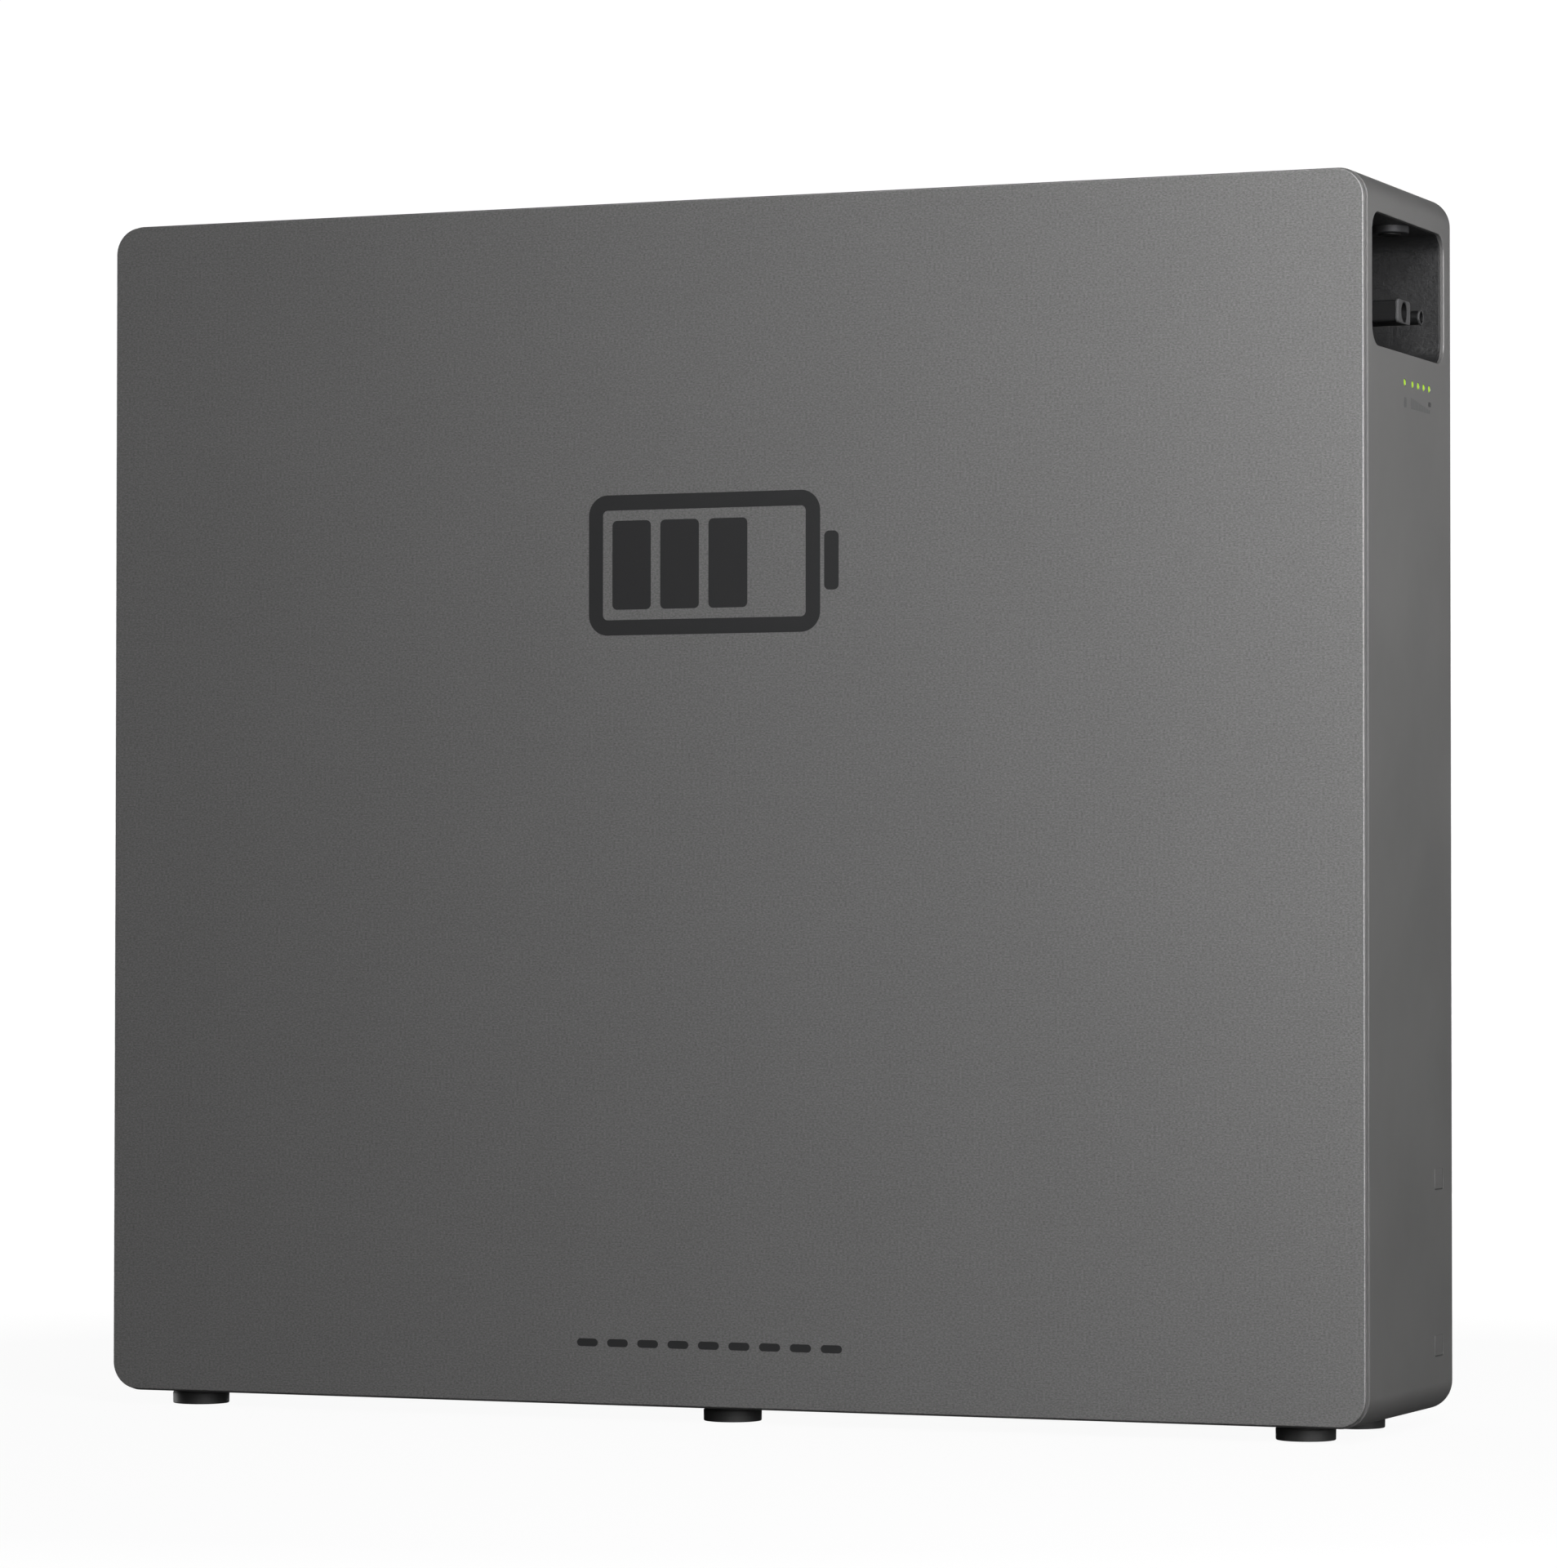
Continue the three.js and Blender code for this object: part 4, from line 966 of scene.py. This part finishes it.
def front_emblem():
    """A plain battery pictogram: a frame, its terminal and charge bars."""
    low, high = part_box("front_panel")
    width, height, stroke = 146 * MM, 82 * MM, 9 * MM
    centre_x, centre_z = -6 * MM, low.z + 0.698 * (high.z - low.z)
    build = Build()

    def add(outline_at, offsets, x):
        printed(build, outline_at, offsets, low.y, -1, across_y, (centre_x + x, centre_z))

    add(rectangle_at(width, height, 12 * MM), (0, -stroke), 0)
    terminal = 9 * MM
    add(rectangle_at(terminal, 34 * MM, 3 * MM, 6), (0,), width / 2 + 2.5 * MM + terminal / 2)
    bars, gap = 4, 6 * MM
    room = width - 2 * stroke - (bars + 1) * gap
    bar = room / bars
    for i in range(bars - 1):
        x = -width / 2 + stroke + gap + bar / 2 + i * (bar + gap)
        add(rectangle_at(bar, height - 2 * stroke - 2 * gap, 3 * MM, 6), (0,), x)
    piece(build, "front_emblem_print", MATERIALS["print_ink"])


def front_strip():
    """A row of plain dashes low on the front."""
    low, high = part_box("front_panel")
    height = 4.6 * MM
    from_x, to_x = -86 * MM, 80.7 * MM
    centre_z = low.z + 0.0508 * (high.z - low.z)
    dashes, gap = 9, 6 * MM
    length = (to_x - from_x - (dashes - 1) * gap) / dashes
    build = Build()
    for i in range(dashes):
        x = from_x + length / 2 + i * (length + gap)
        dash = rectangle_at(length, height, height / 2 - 0.01 * MM, 6)
        printed(build, dash, (0,), low.y, -1, across_y, (x, centre_z))
    piece(build, "front_dash_print", MATERIALS["print_ink"])


def side_legend():
    """Pictograms under the lights: a status mark, falling charge bars and a dot."""
    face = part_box("casing_wrap")[1].x
    status, _ = box_of("light_pipe_status")
    first, _ = box_of("light_pipe_charge_1")
    last, _ = box_of("light_pipe_charge_4")
    faint = print_ink("faint_print_ink", (0.090, 0.090, 0.092), 0.42, 0.6)
    build = Build()
    mark = rectangle_at(5.2 * MM, 5.8 * MM, 1.4 * MM, 6)
    printed(build, mark, (0,), face, 1, across_x, (status.y + 0.6 * MM, status.z - 11.3 * MM))
    bars, foot_z = 12, status.z - 14.2 * MM
    for i in range(bars):
        share = i / (bars - 1)
        y = first.y - 2.2 * MM + share * 35 * MM
        tall = (6.4 - 4.2 * share) * MM
        bar = rectangle_at(2.2 * MM, tall, 0.5 * MM, 4)
        printed(build, bar, (0,), face, 1, across_x, (y, foot_z + tall / 2))
    piece(build, "legend_bars_print", faint)
    dot = Build()
    spot = rectangle_at(4.9 * MM, 2.8 * MM, 0.9 * MM, 6)
    printed(dot, spot, (0,), face, 1, across_x, (last.y + 0.6 * MM, last.z - 8.8 * MM))
    piece(dot, "legend_dot_print", print_ink("grey_print_ink", (0.036, 0.036, 0.037), 0.45, 0.5))


# ---- Stage, light and camera ----
def stage():
    """A pale floor, dimmed near the unit as painted shade, that fades into a white surround."""
    build = Build()
    build.fill(build.ring(polygon(FLOOR_RADIUS, 64), 0, across_z))
    mesh = bpy.data.meshes.new("floor")
    build.bm.to_mesh(mesh)
    build.bm.free()
    floor = bpy.data.objects.new("floor", mesh)
    SCENE.collection.objects.link(floor)
    surface = Surface("floor", (0.02, 0.02, 0.02), 0.7, Emission_Color=(1, 1, 1, 1), Specular_IOR_Level=0)
    distance = surface.nodes.new("ShaderNodeVectorMath")
    distance.operation = "LENGTH"
    surface.links.new(surface.place, distance.inputs[0])
    # The emission is lower near the unit: painted shade on the floor around it.
    glow = surface.ramp(distance.outputs["Value"], *FLOOR_SHADE_FADE, *FLOOR_GLOW)
    surface.links.new(glow, surface.shader.inputs["Emission Strength"])
    mesh.materials.append(surface.material)
    floor.visible_diffuse = False
    floor.visible_glossy = False


def lights():
    """A white surround and soft boxes: a key from the upper right front, and weaker ones round the rest."""
    world = bpy.data.worlds.new("studio")
    world.use_nodes = True
    nodes, links = world.node_tree.nodes, world.node_tree.links
    background = nodes["Background"]
    place = nodes.new("ShaderNodeTexCoord")
    split = nodes.new("ShaderNodeSeparateXYZ")
    height = nodes.new("ShaderNodeMapRange")
    height.inputs["From Min"].default_value = -1
    shade = nodes.new("ShaderNodeValToRGB")
    shade.color_ramp.elements.new(0.5)
    for element, part in zip(shade.color_ramp.elements, ("below", "level", "above")):
        element.color = (*[SURROUND[part]] * 3, 1)
    seen = nodes.new("ShaderNodeBackground")
    seen.inputs["Color"].default_value = (1, 1, 1, 1)
    seen.inputs["Strength"].default_value = SURROUND_SEEN
    path = nodes.new("ShaderNodeLightPath")
    mix = nodes.new("ShaderNodeMixShader")
    links.new(place.outputs["Generated"], split.inputs["Vector"])
    links.new(split.outputs["Z"], height.inputs["Value"])
    links.new(height.outputs["Result"], shade.inputs["Fac"])
    links.new(shade.outputs["Color"], background.inputs["Color"])
    links.new(path.outputs["Is Camera Ray"], mix.inputs["Fac"])
    links.new(background.outputs["Background"], mix.inputs[1])
    links.new(seen.outputs["Background"], mix.inputs[2])
    links.new(mix.outputs["Shader"], nodes["World Output"].inputs["Surface"])
    SCENE.world = world
    for name, light in LIGHTS.items():
        data = bpy.data.lights.new(name, "AREA")
        data.shape = "RECTANGLE"
        data.size, data.size_y = light["size"]
        data.energy = light["watts"]
        lamp = bpy.data.objects.new(name, data)
        lamp.location = light["place"]
        direction = Vector(light["aim"]) - Vector(light["place"])
        lamp.rotation_euler = direction.to_track_quat("-Z", "Y").to_euler()
        lamp.visible_camera = False
        SCENE.collection.objects.link(lamp)


def camera():
    """The photograph's viewpoint, from the right and a little below the unit's middle."""
    data = bpy.data.cameras.new("camera")
    data.lens = CAMERA["lens"]
    data.sensor_width = 36
    data.clip_start, data.clip_end = 0.1, 100
    view = bpy.data.objects.new("camera", data)
    view.location = CAMERA["place"]
    view.rotation_euler = [math.radians(a) for a in (90 + CAMERA["pitch"], CAMERA["roll"], CAMERA["yaw"])]
    SCENE.collection.objects.link(view)
    SCENE.camera = view
    SCENE.view_settings.view_transform = "Standard"


camera()
lights()
stage()
finish_cad_nodes()
casing_wrap()
window_plugs()
front_panel()
rear_panel()
pocket_trays()
push_button()
button_spring()
power_socket()
comm_socket()
earth_stud()
breather_vent()
light_lenses()
feet()
front_emblem()
front_strip()
side_legend()
